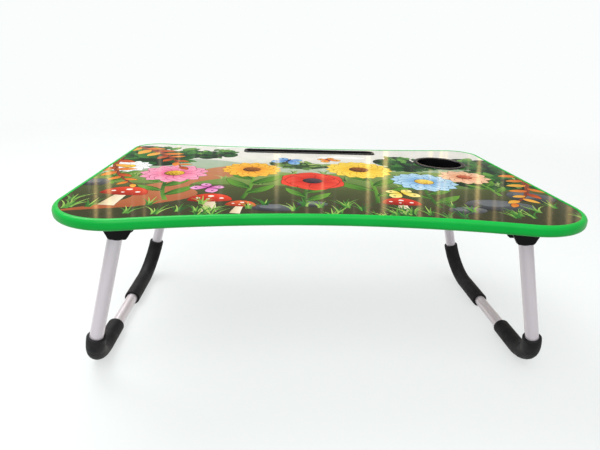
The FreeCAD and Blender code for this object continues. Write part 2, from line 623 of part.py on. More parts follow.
def make_leg_knuckle(side, end):
    """The moulded knuckle in a tube's end: a disc on the pin, a stop heel, a round neck and a plug.

    The heel is drawn with its stop face level while the leg leans, so its points are turned back
    by the lean into the leg's own upright frame.
    """
    name = f"leg_knuckle_{end}_{side}"
    body = make_body(name)
    disc = add_sketch(body, f"{name}_disc_outline", "XZ_Plane")
    draw_circle(disc, "0", "0", "Sizes.knuckle_radius")
    add_pad(body, f"{name}_disc", disc, "Sizes.knuckle_width", centred=True)
    heel = add_sketch(body, f"{name}_heel_outline", "XZ_Plane")
    heel_points = [
        ("0", "0"),
        ("Sizes.heel_near - Sizes.heel_rise", "Sizes.knuckle_radius - Sizes.knuckle_extra / 2"),
        ("Sizes.heel_near", "Sizes.heel_reach"),
        ("Sizes.heel_far", "Sizes.heel_reach"),
        ("Sizes.heel_far", "0"),
    ]
    lean = "Sizes.leg_splay"
    draw_outline(heel, [
        (f"({x}) * cos({lean}) + ({z}) * sin({lean})", f"({z}) * cos({lean}) - ({x}) * sin({lean})")
        for x, z in reversed(heel_points)
    ])
    add_pad(body, f"{name}_heel", heel, "Sizes.knuckle_width", centred=True)
    neck = add_sketch(body, f"{name}_neck_outline", "XY_Plane", "-Sizes.tube_start")
    draw_circle(neck, "0", "0", "Sizes.tube_diameter / 2")
    add_pad(body, f"{name}_neck", neck, "Sizes.tube_start")
    plug = add_sketch(body, f"{name}_plug_outline", "XY_Plane", "-Sizes.tube_start")
    draw_circle(plug, "0", "0", "Sizes.tube_diameter / 2 - Sizes.tube_wall - Sizes.plug_gap")
    stem = add_pad(body, f"{name}_plug", plug, "Sizes.plug_length", downward=True)
    tip = -value("Sizes.tube_start + Sizes.plug_length")
    add_edge_finish(body, f"{name}_plug_lead", "Chamfer", stem,
                    edges_where(stem, lambda e: lies_at(e, "z", tip)), "Sizes.plug_lead")
    bore = add_sketch(body, f"{name}_bore_outline", "XZ_Plane")
    draw_circle(bore, "0", "0", "Sizes.pin_radius + Sizes.pin_knuckle_gap")
    add_pocket(body, f"{name}_bore", bore, "Sizes.knuckle_width + 2 * Sizes.cut_overrun", centred=True)
    rotation = splayed("right")
    if side == "left":
        rotation = HALF_TURN.multiply(rotation)
    set_place(body, pivot_x(side), ENDS[end], "Sizes.pivot_height", rotation)
    return body


def make_leg_tube(side):
    """A leg: one tube bent twice into a U, swept along its centre line from hinge to hinge."""
    name = f"leg_tube_{side}"
    body = make_body(name)
    front, rear, start, length, bend = (
        value(f"Sizes.{size}")
        for size in ("front_upright_y", "rear_upright_y", "tube_start", "leg_length", "bend_radius")
    )
    path = add_sketch(body, f"{name}_centre_line", "YZ_Plane")
    path.addGeometry([
        Part.LineSegment(V(front, -start, 0), V(front, bend - length, 0)),
        arc(front + bend, bend - length, bend, math.pi, 1.5 * math.pi),
        Part.LineSegment(V(front + bend, -length, 0), V(rear - bend, -length, 0)),
        arc(rear - bend, bend - length, bend, 1.5 * math.pi, 2 * math.pi),
        Part.LineSegment(V(rear, bend - length, 0), V(rear, -start, 0)),
    ], False)
    for piece in range(4):
        path.addConstraint(Sketcher.Constraint("Tangent", piece, 2, piece + 1, 1))
    path.addConstraint(Sketcher.Constraint("Vertical", 0))
    path.addConstraint(Sketcher.Constraint("Horizontal", 2))
    path.addConstraint(Sketcher.Constraint("Equal", 1, 3))
    dimension(path, "Radius", (1,), "Sizes.bend_radius")
    place(path, 0, 1, "Sizes.front_upright_y", "-Sizes.tube_start")
    place(path, 4, 2, "Sizes.rear_upright_y", "-Sizes.tube_start")
    dimension(path, "DistanceY", (-1, 1, 2, 1), "-Sizes.leg_length")
    section = add_sketch(body, f"{name}_section", "XY_Plane", "-Sizes.tube_start")
    for radius in ("Sizes.tube_diameter / 2", "Sizes.tube_diameter / 2 - Sizes.tube_wall"):
        draw_circle(section, "0", "Sizes.front_upright_y", radius)
    doc.recompute()
    tube = body.newObject("PartDesign::AdditivePipe", f"{name}_sweep")
    tube.Profile = section
    tube.Spine = (path, [])
    doc.recompute()
    set_place(body, pivot_x(side), "0", "Sizes.pivot_height", splayed(side))
    return body


def make_foot_sleeve(side, end):
    """A rubber sleeve over one bend: turned round the bend's centre, then run along the floor bar.

    It is drawn for the front bend, with the bar going towards +Y, and the rear one is turned round.
    """
    name = f"foot_sleeve_{end}_{side}"
    body = make_body(name)
    joint = add_sketch(body, f"{name}_section", "XZ_Plane", "-Sizes.bend_radius")
    for radius in ("Sizes.sleeve_bore", "Sizes.sleeve_radius"):
        draw_circle(joint, "0", "-Sizes.leg_length", radius)
    reach = value("Sizes.sleeve_radius")
    centre = value("Sizes.bend_radius - Sizes.leg_length")
    hub = joint.addGeometry(Part.LineSegment(V(-reach, centre, 0), V(reach, centre, 0)), True)
    joint.addConstraint(Sketcher.Constraint("Horizontal", hub))
    place(joint, hub, 1, "-Sizes.sleeve_radius", "Sizes.bend_radius - Sizes.leg_length")
    dimension(joint, "DistanceX", (hub, 1, hub, 2), "2 * Sizes.sleeve_radius")
    doc.recompute()
    add_pad(body, f"{name}_straight", joint, f"Sizes.{end}_sleeve_run", downward=True)
    bend = body.newObject("PartDesign::Revolution", f"{name}_bend")
    bend.Profile = joint
    bend.ReferenceAxis = (joint, ["Axis0"])
    bend.Reversed = True
    bend.setExpression("Angle", f"90 - Sizes.{end}_sleeve_start")
    doc.recompute()
    outside = value("Sizes.sleeve_radius")
    join = value("Sizes.bend_radius")
    rims = edges_where(bend, lambda e: isinstance(e.Curve, Part.Circle)
                       and abs(e.Curve.Radius - outside) < NEAR and abs(e.Curve.Center.y - join) > NEAR)
    add_edge_finish(body, f"{name}_end_roundings", "Fillet", bend, rims, "Sizes.sleeve_rounding")
    rotation = splayed(side)
    if end == "rear":
        rotation = rotation.multiply(HALF_TURN)
    set_place(body, pivot_x(side), ENDS[end], "Sizes.pivot_height", rotation)
    return body


def make_bracket_screws():
    """The sixteen pan-head screws of the hinge plates, one turned screw repeated over every hole."""
    body = make_body("bracket_screws")
    body.AllowCompound = True
    section = add_sketch(body, "screw_section", "XZ_Plane")
    draw_outline(section, [
        ("0", "-Sizes.screw_head_height"),
        ("Sizes.screw_head_radius / 2", "-Sizes.screw_head_height"),
        ("Sizes.screw_head_radius", "-Sizes.screw_head_height / 3"),
        ("Sizes.screw_head_radius", "0"),
        ("Sizes.screw_radius", "0"),
        ("Sizes.screw_radius", "Sizes.screw_shank - Sizes.screw_radius"),
        ("0", "Sizes.screw_shank"),
    ])
    screw = add_turned(body, "one_screw", "Revolution", section, "V_Axis")
    axes = {item.Role: item for item in body.Origin.OriginFeatures}
    reach = "Sizes.screw_inner_reach + Sizes.screw_outer_reach"
    repeats = [
        ("screw_pairs", "Y_Axis", "Sizes.screw_spread", False),
        ("screw_rows", "X_Axis", reach, False),
        ("screw_ends", "Y_Axis", "Sizes.rear_upright_y - Sizes.front_upright_y", False),
        ("screw_sides", "X_Axis", "2 * (Sizes.pivot_x - Sizes.screw_inner_reach) + " + reach, True),
    ]
    grid = body.newObject("PartDesign::MultiTransform", "screw_grid")
    steps = []
    for step_name, axis, length, reversed_way in repeats:
        step = body.newObject("PartDesign::LinearPattern", step_name)
        step.Direction = (axes[axis], [""])
        step.Reversed = reversed_way
        step.Occurrences = 2
        step.setExpression("Length", length)
        steps.append(step)
    grid.Originals = [screw]
    grid.Transformations = steps
    body.Tip = grid
    doc.recompute()
    set_place(body, "Sizes.pivot_x - Sizes.screw_inner_reach",
              "Sizes.front_upright_y - Sizes.screw_spread / 2", "Sizes.pivot_height + Sizes.plate_under")
    return body


def check_and_export(bodies):
    """Stops on a failed object or an empty or broken shape, and otherwise writes one file a sub-part."""
    doc.recompute()
    for item in doc.Objects:
        if {"Invalid", "Error"} & set(item.State):
            raise RuntimeError(f"{item.Label} did not recompute")
    os.makedirs("parts", exist_ok=True)
    for body in bodies:
        shape = body.Shape
        if shape.isNull() or not shape.isValid():
            raise RuntimeError(f"{body.Label} has no valid shape")
        shape.exportStep(f"parts/{body.Label}.step")
        print(body.Label, len(shape.Solids), round(shape.Volume / 1000, 3), "cm3")


sub_parts = [
    make_board_core(),
    make_laminate("printed_laminate", "Sizes.core_top", "Sizes.print_thickness", "flange"),
    make_backing(),
    make_edge_band(),
    make_cup_holder(),
    make_tablet_slot(),
    make_bracket_screws(),
]
for side in SIDES:
    sub_parts.append(make_leg_tube(side))
    for end in ENDS:
        sub_parts.append(make_hinge_housing(side, end))
        sub_parts.append(make_hinge_pin(side, end))
        sub_parts.append(make_leg_knuckle(side, end))
        sub_parts.append(make_foot_sleeve(side, end))
check_and_export(sub_parts)
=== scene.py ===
import math

import bpy
import numpy as np
from mathutils import Matrix, Vector
from mathutils.geometry import delaunay_2d_cdt


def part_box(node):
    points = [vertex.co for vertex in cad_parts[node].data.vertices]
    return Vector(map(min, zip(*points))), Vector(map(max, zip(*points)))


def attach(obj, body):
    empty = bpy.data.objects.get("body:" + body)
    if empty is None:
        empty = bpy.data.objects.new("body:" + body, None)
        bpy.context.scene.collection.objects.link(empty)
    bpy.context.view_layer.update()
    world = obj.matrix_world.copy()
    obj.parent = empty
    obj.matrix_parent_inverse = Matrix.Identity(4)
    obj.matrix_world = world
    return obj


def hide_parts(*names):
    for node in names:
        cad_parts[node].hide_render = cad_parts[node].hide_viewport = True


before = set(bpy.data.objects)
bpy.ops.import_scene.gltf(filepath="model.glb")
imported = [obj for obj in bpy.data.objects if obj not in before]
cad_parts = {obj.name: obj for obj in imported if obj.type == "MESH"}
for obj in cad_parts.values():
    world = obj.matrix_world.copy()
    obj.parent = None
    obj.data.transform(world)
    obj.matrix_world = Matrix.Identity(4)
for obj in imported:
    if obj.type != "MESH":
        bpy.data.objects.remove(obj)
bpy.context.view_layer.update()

MM = 0.001
SIDES = {"left": -1, "right": 1}
ENDS = ("front", "rear")

# Sizes of the table, in millimetres, as the frame holds them.
band_low, band_high = (np.array(corner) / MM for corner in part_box("edge_band"))
HALF_LENGTH = band_high[0]
HALF_DEPTH = band_high[1]
TABLE_TOP = band_high[2]
BAND_BOTTOM = band_low[2]
PRINT_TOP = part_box("printed_laminate")[1].z / MM
PRINT_UNDERSIDE = PRINT_TOP - 0.5
FRONT_CORNER = 72.0
REAR_CORNER = 41.0
FRONT_HOLLOW = 25.0
REAR_HOLLOW = 14.5
LIP_WIDTH = 6.5
LIP_THICKNESS = 1.2
LIP_FALL = 0.1
LIP_ROUNDING = 0.45
BAND_WALL = 3.0
BAND_ROUNDING = 4.9
LAMINATE_GAP = 0.1
CUP_CENTRE = (205.0, 86.0)
CUP_RADIUS = 36.0
CUP_FLANGE_RADIUS = 40.5
CUP_STEPS = 96
CUP_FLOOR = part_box("cup_holder")[0].z / MM
INSERT_WALL = 1.8
SLOT_CENTRE = (0.0, 153.5)
SLOT_SIZE = (214.0, 18.0)
SLOT_RIM = 5.0
SLOT_CORNER = 4.0
SLOT_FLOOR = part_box("tablet_slot")[0].z / MM
FLANGE_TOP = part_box("cup_holder")[1].z / MM
PIVOT_X = 230.5
PIVOT_HEIGHT = 196.8
UPRIGHT_Y = {"front": -151.0, "rear": 138.0}
SPLAY_DEGREES = 15.5
SLEEVE_RADIUS = 11.5
LEG_LENGTH = (PIVOT_HEIGHT - SLEEVE_RADIUS) / math.cos(math.radians(SPLAY_DEGREES))
BEND_RADIUS = 52.0
TUBE_RADIUS = 8.0
TUBE_START = 11.0
SLEEVE_START = {"front": 4.5, "rear": 1.0}
SLEEVE_RUN = {"front": 42.5, "rear": 67.0}
PLATE_UNDERSIDE = 12.0
SCREW_REACH = (-30.5, 26.5)


def linear(hex_colour):
    """An sRGB hex colour as linear red, green, blue and alpha."""
    channels = [int(hex_colour[i:i + 2], 16) / 255 for i in (1, 3, 5)]
    return tuple(c / 12.92 if c <= 0.04045 else ((c + 0.055) / 1.055) ** 2.4 for c in channels) + (1.0,)


def set_all(target, settings):
    """Sets several properties of one thing."""
    for name, setting in settings.items():
        setattr(target, name, setting)
    return target


def add_node(tree, kind, inputs=None, **settings):
    """Adds a shader node of a kind, sets its properties, and sets or links its inputs."""
    made = set_all(tree.nodes.new("ShaderNode" + kind), settings)
    for name, given in (inputs or {}).items():
        if isinstance(given, bpy.types.NodeSocket):
            tree.links.new(given, made.inputs[name])
        else:
            made.inputs[name].default_value = given
    return made


def new_material(name, **inputs):
    """A material with one principled shader and the values that are the same all over."""
    material = bpy.data.materials.new(name)
    material.use_nodes = True
    tree = material.node_tree
    shader = tree.nodes["Principled BSDF"]
    for key, given in inputs.items():
        shader.inputs[key.replace("_", " ")].default_value = given
    return material, tree, shader


def grain(tree, size, detail, factors=(1, 1, 1)):
    """Noise with grains about size millimetres across; a factor under 1 draws them out along its axis.

    It lies on object coordinates, which are the table's own frame in metres.
    """
    place = add_node(tree, "TexCoord").outputs["Object"]
    mapping = add_node(tree, "Mapping", {"Vector": place, "Scale": factors})
    return add_node(tree, "TexNoise", {
        "Vector": mapping.outputs["Vector"], "Scale": 1 / (size * MM), "Detail": detail,
    }).outputs["Fac"]


def patches(tree, noise, low, high, first=0.0, last=1.0):
    """A noise, given as grain takes it, whose levels from low to high become first to last."""
    return add_node(tree, "MapRange", {
        "Value": grain(tree, *noise), "From Min": low, "From Max": high, "To Min": first, "To Max": last,
    }).outputs["Result"]


def connect(tree, shader, colour, rough=None, height=None, depth=0):
    """Gives a material its colour, its roughness and its relief, whose depth is in millimetres."""
    tree.links.new(colour, shader.inputs["Base Color"])
    if rough is not None:
        tree.links.new(rough, shader.inputs["Roughness"])
    if height is not None:
        raised = add_node(tree, "Bump", {"Height": height, "Distance": depth * MM, "Strength": 1.0})
        tree.links.new(raised.outputs["Normal"], shader.inputs["Normal"])


def varied(name, colours, patch, rough, relief=(None, 0), **inputs):
    """A material that varies between two near colours and between two roughnesses.

    patch is a noise, as grain takes it, and its two levels that give the pure colours; rough is a noise
    and the two roughnesses; relief is a noise and the depth of its bumps.
    """
    material, tree, shader = new_material(name, **inputs)
    first, second = map(linear, colours)
    share = patches(tree, *patch)
    colour = add_node(tree, "Mix", {0: share, 6: first, 7: second}, data_type="RGBA").outputs[2]
    noise, low, high = rough
    level = patches(tree, noise, 0.3, 0.7, low, high)
    noise, depth = relief
    height = grain(tree, *noise) if noise else None
    connect(tree, shader, colour, level, height, depth)
    return material


def make_print():
    """Printed melamine laminate: the ink colours under a clear, glossy, slightly rippled film."""
    material, tree, shader = new_material("printed_melamine", IOR=1.5)
    ink = add_node(tree, "Attribute", attribute_name="ink").outputs["Color"]
    # Ink dots are far finer than a pixel, so they are drawn as a faint 1.2 mm mottle.
    mottle = patches(tree, (1.2, 3), 0.25, 0.75, 0.93, 1.07)
    wash = patches(tree, (26, 3), 0.3, 0.7, 0.94, 1.06)
    shade = add_node(tree, "Math", {0: mottle, 1: wash}, operation="MULTIPLY").outputs[0]
    tinted = add_node(tree, "VectorMath", {0: ink, "Scale": shade}, operation="SCALE").outputs["Vector"]
    rough = patches(tree, (9, 3), 0.3, 0.7, 0.05, 0.09)
    connect(tree, shader, tinted, rough, grain(tree, 14, 2, (1, 0.35, 1)), 0.012)
    return material


def make_fibreboard():
    """Medium-density fibreboard: warm brown, matt, felted from short wood fibres."""
    material, tree, shader = new_material("fibreboard", IOR=1.45, Roughness=0.85)
    fibres = patches(tree, (1.1, 4, (1, 1, 4)), 0.3, 0.7)
    dark, light = linear("#A07F56"), linear("#C3A274")
    colour = add_node(tree, "Mix", {0: fibres, 6: dark, 7: light}, data_type="RGBA").outputs[2]
    connect(tree, shader, colour, height=fibres, depth=0.12)
    return material


NEAR_BLACKS = ("#08080A", "#101012")

MATERIALS = {
    # Extruded soft PVC edge band: even bright green, satin, with a faint ripple from the die.
    "green_edge_band": varied(
        "soft_pvc_band", ("#00AE3E", "#02B844"), ((45, 3), 0.3, 0.7), ((6, 2), 0.30, 0.40),
        ((2.2, 2), 0.02), IOR=1.53, Specular_IOR_Level=0.2),
    "printed_laminate": make_print(),
    # Steel tube in silver lacquer: pale, a little pink, glossy, with faint drawing lines along it.
    "silver_tube": varied(
        "silver_lacquered_tube", ("#EBE3E9", "#F0EAF0"), ((70, 2, (1, 1, 0.5)), 0.35, 0.65),
        ((9, 2, (1, 1, 0.3)), 0.29, 0.36), Metallic=0.45, IOR=1.5, Coat_Weight=0.3, Coat_Roughness=0.12),
    # Black rubber tube: charcoal, matt, finely pitted, paler where it has rubbed.
    "black_rubber": varied(
        "black_rubber", ("#1B1B1D", "#282729"), ((16, 5), 0.45, 0.75), ((7, 3), 0.48, 0.66),
        ((0.9, 3), 0.05), IOR=1.52, Specular_IOR_Level=0.2),
    # Moulded black ABS of the hinges: near black, with the fine spark texture of its mould.
    "black_plastic": varied(
        "black_abs", NEAR_BLACKS, ((20, 4), 0.35, 0.65), ((4, 3), 0.29, 0.38),
        ((0.8, 2), 0.012), IOR=1.54, Specular_IOR_Level=0.15),
    # The same ABS from a polished mould, for the cup holder and the tablet slot.
    "black_insert": varied(
        "polished_black_abs", NEAR_BLACKS, ((20, 4), 0.35, 0.65), ((4, 3), 0.14, 0.22),
        ((0.8, 2), 0.004), IOR=1.54, Specular_IOR_Level=0.45),
    "fibreboard": make_fibreboard(),
    # Balancing laminate under the board: off-white melamine paper, matt, with a fine orange peel.
    "backing_laminate": varied(
        "white_backing_melamine", ("#DEDCD5", "#E7E5DF"), ((60, 4), 0.3, 0.7), ((10, 3), 0.42, 0.55),
        ((1.6, 2), 0.02), IOR=1.5),
    # Zinc-plated steel: pale grey metal, softly brushed by the plating barrel.
    "pin_steel": varied(
        "zinc_plated_steel", ("#B9BABC", "#CFCFCF"), ((2.5, 4), 0.3, 0.7), ((1.5, 3), 0.29, 0.42),
        Metallic=1.0),
}


def show(piece, body, slot, *nodes, finish=None):
    """Gives a finished piece its material, and lets it ride on a body in place of its CAD nodes."""
    piece.data.materials.clear()
    piece.data.materials.append(MATERIALS[finish or slot])
    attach(piece, body)
    if nodes:
        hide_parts(*nodes)
    return piece


def new_object(name, data):
    """An object at the origin that holds a mesh, a camera or a lamp."""
    made = bpy.data.objects.new(name, data)
    bpy.context.scene.collection.objects.link(made)
    return made


def solid_from_grid(name, grid, along=False, caps=False):
    """A closed skin over a grid of points in millimetres: rows along a path, columns round a section.

    The columns always close. The rows close too where along is true, and else get a flat cap at each
    end where caps is true. Faces turn outward: they are flipped if the volume inside the skin, summed
    over its quads about the middle of its points, comes out negative.
    """
    rows, columns = grid.shape[:2]
    index = np.arange(rows * columns).reshape(rows, columns)
    index = np.hstack([index, index[:, :1]])
    if along:
        index = np.vstack([index, index[:1]])
    quads = np.stack([index[:-1, :-1], index[1:, :-1], index[1:, 1:], index[:-1, 1:]], -1).reshape(-1, 4)
    points = grid.reshape(-1, 3) * MM
    first, second, third, fourth = np.moveaxis((points - points.mean(0))[quads], 1, 0)
    volume = np.einsum("ij,ij->", first, np.cross(second, third) + np.cross(third, fourth))
    ends = [index[0, :-1], index[-1, -2::-1]] if caps else []
    faces = quads.tolist() + [ring.tolist() for ring in ends]
    if volume < 0:
        faces = [face[::-1] for face in faces]
    mesh = bpy.data.meshes.new(name)
    mesh.from_pydata(points.tolist(), [], faces)
    mesh.shade_smooth()
    return new_object(name, mesh)


def sharpen(piece, degrees=35):
    """Keeps edges sharper than an angle crisp under smooth shading."""
    piece.data.set_sharp_from_angle(angle=math.radians(degrees))
    return piece


def round_angles(steps):
    """Angles spread evenly over a full turn, in radians."""
    return np.linspace(0, 2 * math.pi, steps, endpoint=False)


def ellipse(angles, across, up):
    """Points of an ellipse about the origin, at angles in radians."""
    return np.stack([across * np.cos(angles), up * np.sin(angles)], 1)


def turned(points, degrees):
    """Points turned about the origin."""
    cosine, sine = direction(degrees)
    return points @ np.array([[cosine, sine], [-sine, cosine]])


def direction(degrees):
    """A step of unit length at an angle."""
    return np.array([math.cos(math.radians(degrees)), math.sin(math.radians(degrees))])


def table_outline(inset):
    """Points along the board's outline, anticlockwise, at an inset from its outer face.

    Each corner is an arc about its own centre, each long edge an arc tangent to its two corners and
    centred outside the board, so an inset shrinks the corner radii and grows the hollow radii.
    """
    pi = math.pi
    corner_steps, hollow_steps, side_steps = 28, 64, 8
    x_front, x_rear = HALF_LENGTH - FRONT_CORNER, HALF_LENGTH - REAR_CORNER
    front_sum = (x_front ** 2 + FRONT_HOLLOW ** 2) / (2 * FRONT_HOLLOW)
    rear_sum = (x_rear ** 2 + REAR_HOLLOW ** 2) / (2 * REAR_HOLLOW)
    front_turn = math.atan2(front_sum - FRONT_HOLLOW, x_front)
    rear_turn = math.atan2(rear_sum - REAR_HOLLOW, x_rear)
    front_radius, rear_radius = front_sum - FRONT_CORNER, rear_sum - REAR_CORNER
    front_centre = (0, FRONT_HOLLOW - HALF_DEPTH - front_radius)
    rear_centre = (0, HALF_DEPTH - REAR_HOLLOW + rear_radius)
    side_low, side_high = FRONT_CORNER - HALF_DEPTH, HALF_DEPTH - REAR_CORNER
    side_x = HALF_LENGTH - inset

    def arc(centre, radius, start, end, steps):
        return centre + ellipse(np.linspace(start, end, steps, endpoint=False), radius, radius)

    def side(x, low, high):
        return np.stack([np.full(side_steps, x), np.linspace(low, high, side_steps, endpoint=False)], 1)

    return np.vstack([
        arc(front_centre, front_radius + inset, pi - front_turn, front_turn, hollow_steps),
        arc((x_front, side_low), FRONT_CORNER - inset, pi + front_turn, 2 * pi, corner_steps),
        side(side_x, side_low, side_high),
        arc((x_rear, side_high), REAR_CORNER - inset, 0, pi - rear_turn, corner_steps),
        arc(rear_centre, rear_radius + inset, 2 * pi - rear_turn, pi + rear_turn, hollow_steps),
        arc((-x_rear, side_high), REAR_CORNER - inset, rear_turn, pi, corner_steps),
        side(-side_x, side_high, side_low),
        arc((-x_front, side_low), FRONT_CORNER - inset, pi, 2 * pi - front_turn, corner_steps),
    ])


def rounded_section(corners, steps):
    """A closed section through corners given as (across, up, radius), each rounded by an arc.

    Each arc touches both sides of its corner and turns evenly from one to the other.
    """
    places = np.array([corner[:2] for corner in corners], float)
    section = []
    for k, corner in enumerate(places):
        radius = corners[k][2]
        before = places[k - 1] - corner
        after = places[(k + 1) % len(places)] - corner
        before /= np.linalg.norm(before)
        after /= np.linalg.norm(after)
        if radius == 0:
            section.append(corner[None])
            continue
        half = math.acos(np.clip(before @ after, -1, 1)) / 2
        reach = radius / math.tan(half)
        middle = (before + after) / np.linalg.norm(before + after)
        centre = corner + middle * radius / math.sin(half)
        start = corner + before * reach - centre
        end = corner + after * reach - centre
        share = np.linspace(0, 1, steps)[:, None]
        turn = math.pi - 2 * half
        rays = (np.sin((1 - share) * turn) * start + np.sin(share * turn) * end) / math.sin(turn)
        section.append(centre + rays)
    return np.vstack(section)


def lifted(outline, height):
    """The points of a flat outline, at a height."""
    return np.column_stack([outline, np.full(len(outline), height)])


def rings_round(section, outline):
    """A section carried round: for each of its points the outline that far out, at the point's height."""
    return np.stack([lifted(outline(out), height) for out, height in section])


def make_band():
    """The edge band: one section of wall, lips and rounded edges carried round the board's outline."""
    section = rounded_section([
        (0, TABLE_TOP, BAND_ROUNDING),
        (LIP_WIDTH, TABLE_TOP - LIP_FALL, LIP_ROUNDING),
        (LIP_WIDTH, TABLE_TOP - LIP_THICKNESS, 0),
        (BAND_WALL, TABLE_TOP - LIP_THICKNESS, 0),
        (BAND_WALL, BAND_BOTTOM + LIP_THICKNESS, 0),
        (LIP_WIDTH, BAND_BOTTOM + LIP_THICKNESS, 0),
        (LIP_WIDTH, BAND_BOTTOM + LIP_FALL, LIP_ROUNDING),
        (0, BAND_BOTTOM, BAND_ROUNDING),
    ], 9)
    grid = rings_round(section, table_outline).swapaxes(0, 1)
    piece = sharpen(solid_from_grid("edge_band_visual", grid, along=True), 40)
    return show(piece, "tabletop", "green_edge_band", "edge_band")


def insert_section(middle, inner, rim, floor, foot_rounding, mouth_rounding, floor_rounding, steps):
    """The section of a moulded insert: out under its floor, up its wall, round its flange and back in."""
    outer = inner + INSERT_WALL
    flange_foot, flange_edge = 0.2, 0.75
    return rounded_section([
        (middle, floor, 0),
        (outer, floor, foot_rounding),
        (outer, PRINT_UNDERSIDE, 0),
        (rim, PRINT_UNDERSIDE, flange_foot),
        (rim, FLANGE_TOP, flange_edge),
        (inner, FLANGE_TOP, mouth_rounding),
        (inner, floor + INSERT_WALL, floor_rounding),
        (middle, floor + INSERT_WALL, 0),
    ], steps)


def cup_ring(radius):
    """A circle about the middle of the cup holder, never quite a point."""
    width = 2 * max(radius, 0.001)
    return oval(CUP_CENTRE, width, width, CUP_STEPS)


def make_cup():
    """The cup holder: its section turned about an upright axis, with a tiny flat pole in the middle."""
    foot, mouth = 4.0, 1.0
    section = insert_section(0, CUP_RADIUS - INSERT_WALL, CUP_FLANGE_RADIUS, CUP_FLOOR,
                             foot, mouth, foot - INSERT_WALL, 7)
    piece = solid_from_grid("cup_holder_visual", rings_round(section, cup_ring), caps=True)
    return show(sharpen(piece), "tabletop", "black_plastic", "cup_holder", finish="black_insert")


def rounded_rectangle(length, width, radius):
    """Points round a rectangle with arcs for its corners, anticlockwise."""
    corners = []
    for quarter, (sign_x, sign_y) in enumerate(((1, 1), (-1, 1), (-1, -1), (1, -1))):
        angles = np.linspace(quarter, quarter + 1, 10) * math.pi / 2
        centre = (sign_x * (length / 2 - radius), sign_y * (width / 2 - radius))
        corners.append(centre + ellipse(angles, radius, radius))
    return np.vstack(corners)


def slot_ring(out):
    """The outline of the slot's mouth, grown outward or shrunk, with corners that never get sharp."""
    length, width = (size + 2 * out for size in SLOT_SIZE)
    return rounded_rectangle(length, width, max(SLOT_CORNER + out, 0.4)) + SLOT_CENTRE


def make_slot():
    """The slot insert: its section carried round a rounded rectangle, whose floor closes in the middle."""
    middle_gap, foot, mouth, floor = 0.5, 0.8, 0.9, 1.0
    section = insert_section(middle_gap - SLOT_SIZE[1] / 2, 0, SLOT_RIM, SLOT_FLOOR, foot, mouth, floor, 6)
    piece = solid_from_grid("tablet_slot_visual", rings_round(section, slot_ring), caps=True)
    return show(sharpen(piece), "tabletop", "black_plastic", "tablet_slot", finish="black_insert")


def leg_frame(points, side):
    """Turns points from the leg's upright frame, its pin at the origin, to the splayed leg."""
    sign = SIDES[side]
    placed = points.copy()
    placed[..., ::2] = turned(points[..., ::2], sign * SPLAY_DEGREES) + (sign * PIVOT_X, PIVOT_HEIGHT)
    return placed


def carried_ring(centres, tangents, radii, steps=40):
    """Circles of given radii about a path that stays in the plane x = 0, square to its direction."""
    angles = round_angles(steps)
    side = np.array([1.0, 0, 0])
    across = np.cross(tangents, side)
    rays = np.cos(angles)[None, :, None] * side + np.sin(angles)[None, :, None] * across[:, None, :]
    return centres[:, None, :] + np.broadcast_to(radii, (len(centres), steps))[..., None] * rays


def in_plane(y, z):
    """Points or directions in the plane x = 0."""
    y, z = np.broadcast_arrays(y, z)
    return np.stack([np.zeros(len(y)), y, z], 1)


def leg_path(upright_y, toward, start, run):
    """The centre line of one bend, from start degrees into it, and of the bar after it, as far as run."""
    bend_steps, bar_steps = 40, 14
    angles = np.radians(np.linspace(start, 90, bend_steps))
    bend = in_plane(upright_y + toward * BEND_RADIUS * (1 - np.cos(angles)),
                    BEND_RADIUS - LEG_LENGTH - BEND_RADIUS * np.sin(angles))
    heading = in_plane(toward * np.sin(angles), -np.cos(angles))
    along = np.linspace(0, run, bar_steps)[1:]
    bar = in_plane(upright_y + toward * (BEND_RADIUS + along), -LEG_LENGTH)
    bar_heading = in_plane(toward + 0 * along, 0)
    return np.vstack([bend, bar]), np.vstack([heading, bar_heading])


def make_tube(side):
    """A leg tube: a circle carried down one upright, round both bends and up the other."""
    mouth_chamfer, upright_steps = 1.0, 12
    front, rear = UPRIGHT_Y["front"], UPRIGHT_Y["rear"]
    half_bar = (rear - front) / 2 - BEND_RADIUS
    down = np.linspace(TUBE_START, LEG_LENGTH - BEND_RADIUS, upright_steps)[:-1]
    upright = in_plane(front, -down)
    bend, heading = leg_path(front, 1, 0, half_bar)
    half = np.vstack([upright, bend])
    half_heading = np.vstack([in_plane(0 * down, -1), heading])
    other = half[::-1][1:] * (1, -1, 1) + (0, front + rear, 0)
    other_heading = half_heading[::-1][1:] * (1, 1, -1)
    centres = np.vstack([half, other])
    tangents = np.vstack([half_heading, other_heading])
    outside = carried_ring(centres, tangents, TUBE_RADIUS)
    lead = carried_ring(centres[[0, -1]], tangents[[0, -1]], TUBE_RADIUS - mouth_chamfer)
    grid = np.concatenate([lead[:1], outside, lead[1:]])
    piece = solid_from_grid(f"leg_tube_{side}_visual", leg_frame(grid, side), caps=True)
    return show(sharpen(piece), f"{side}_leg", "silver_tube", f"leg_tube_{side}")


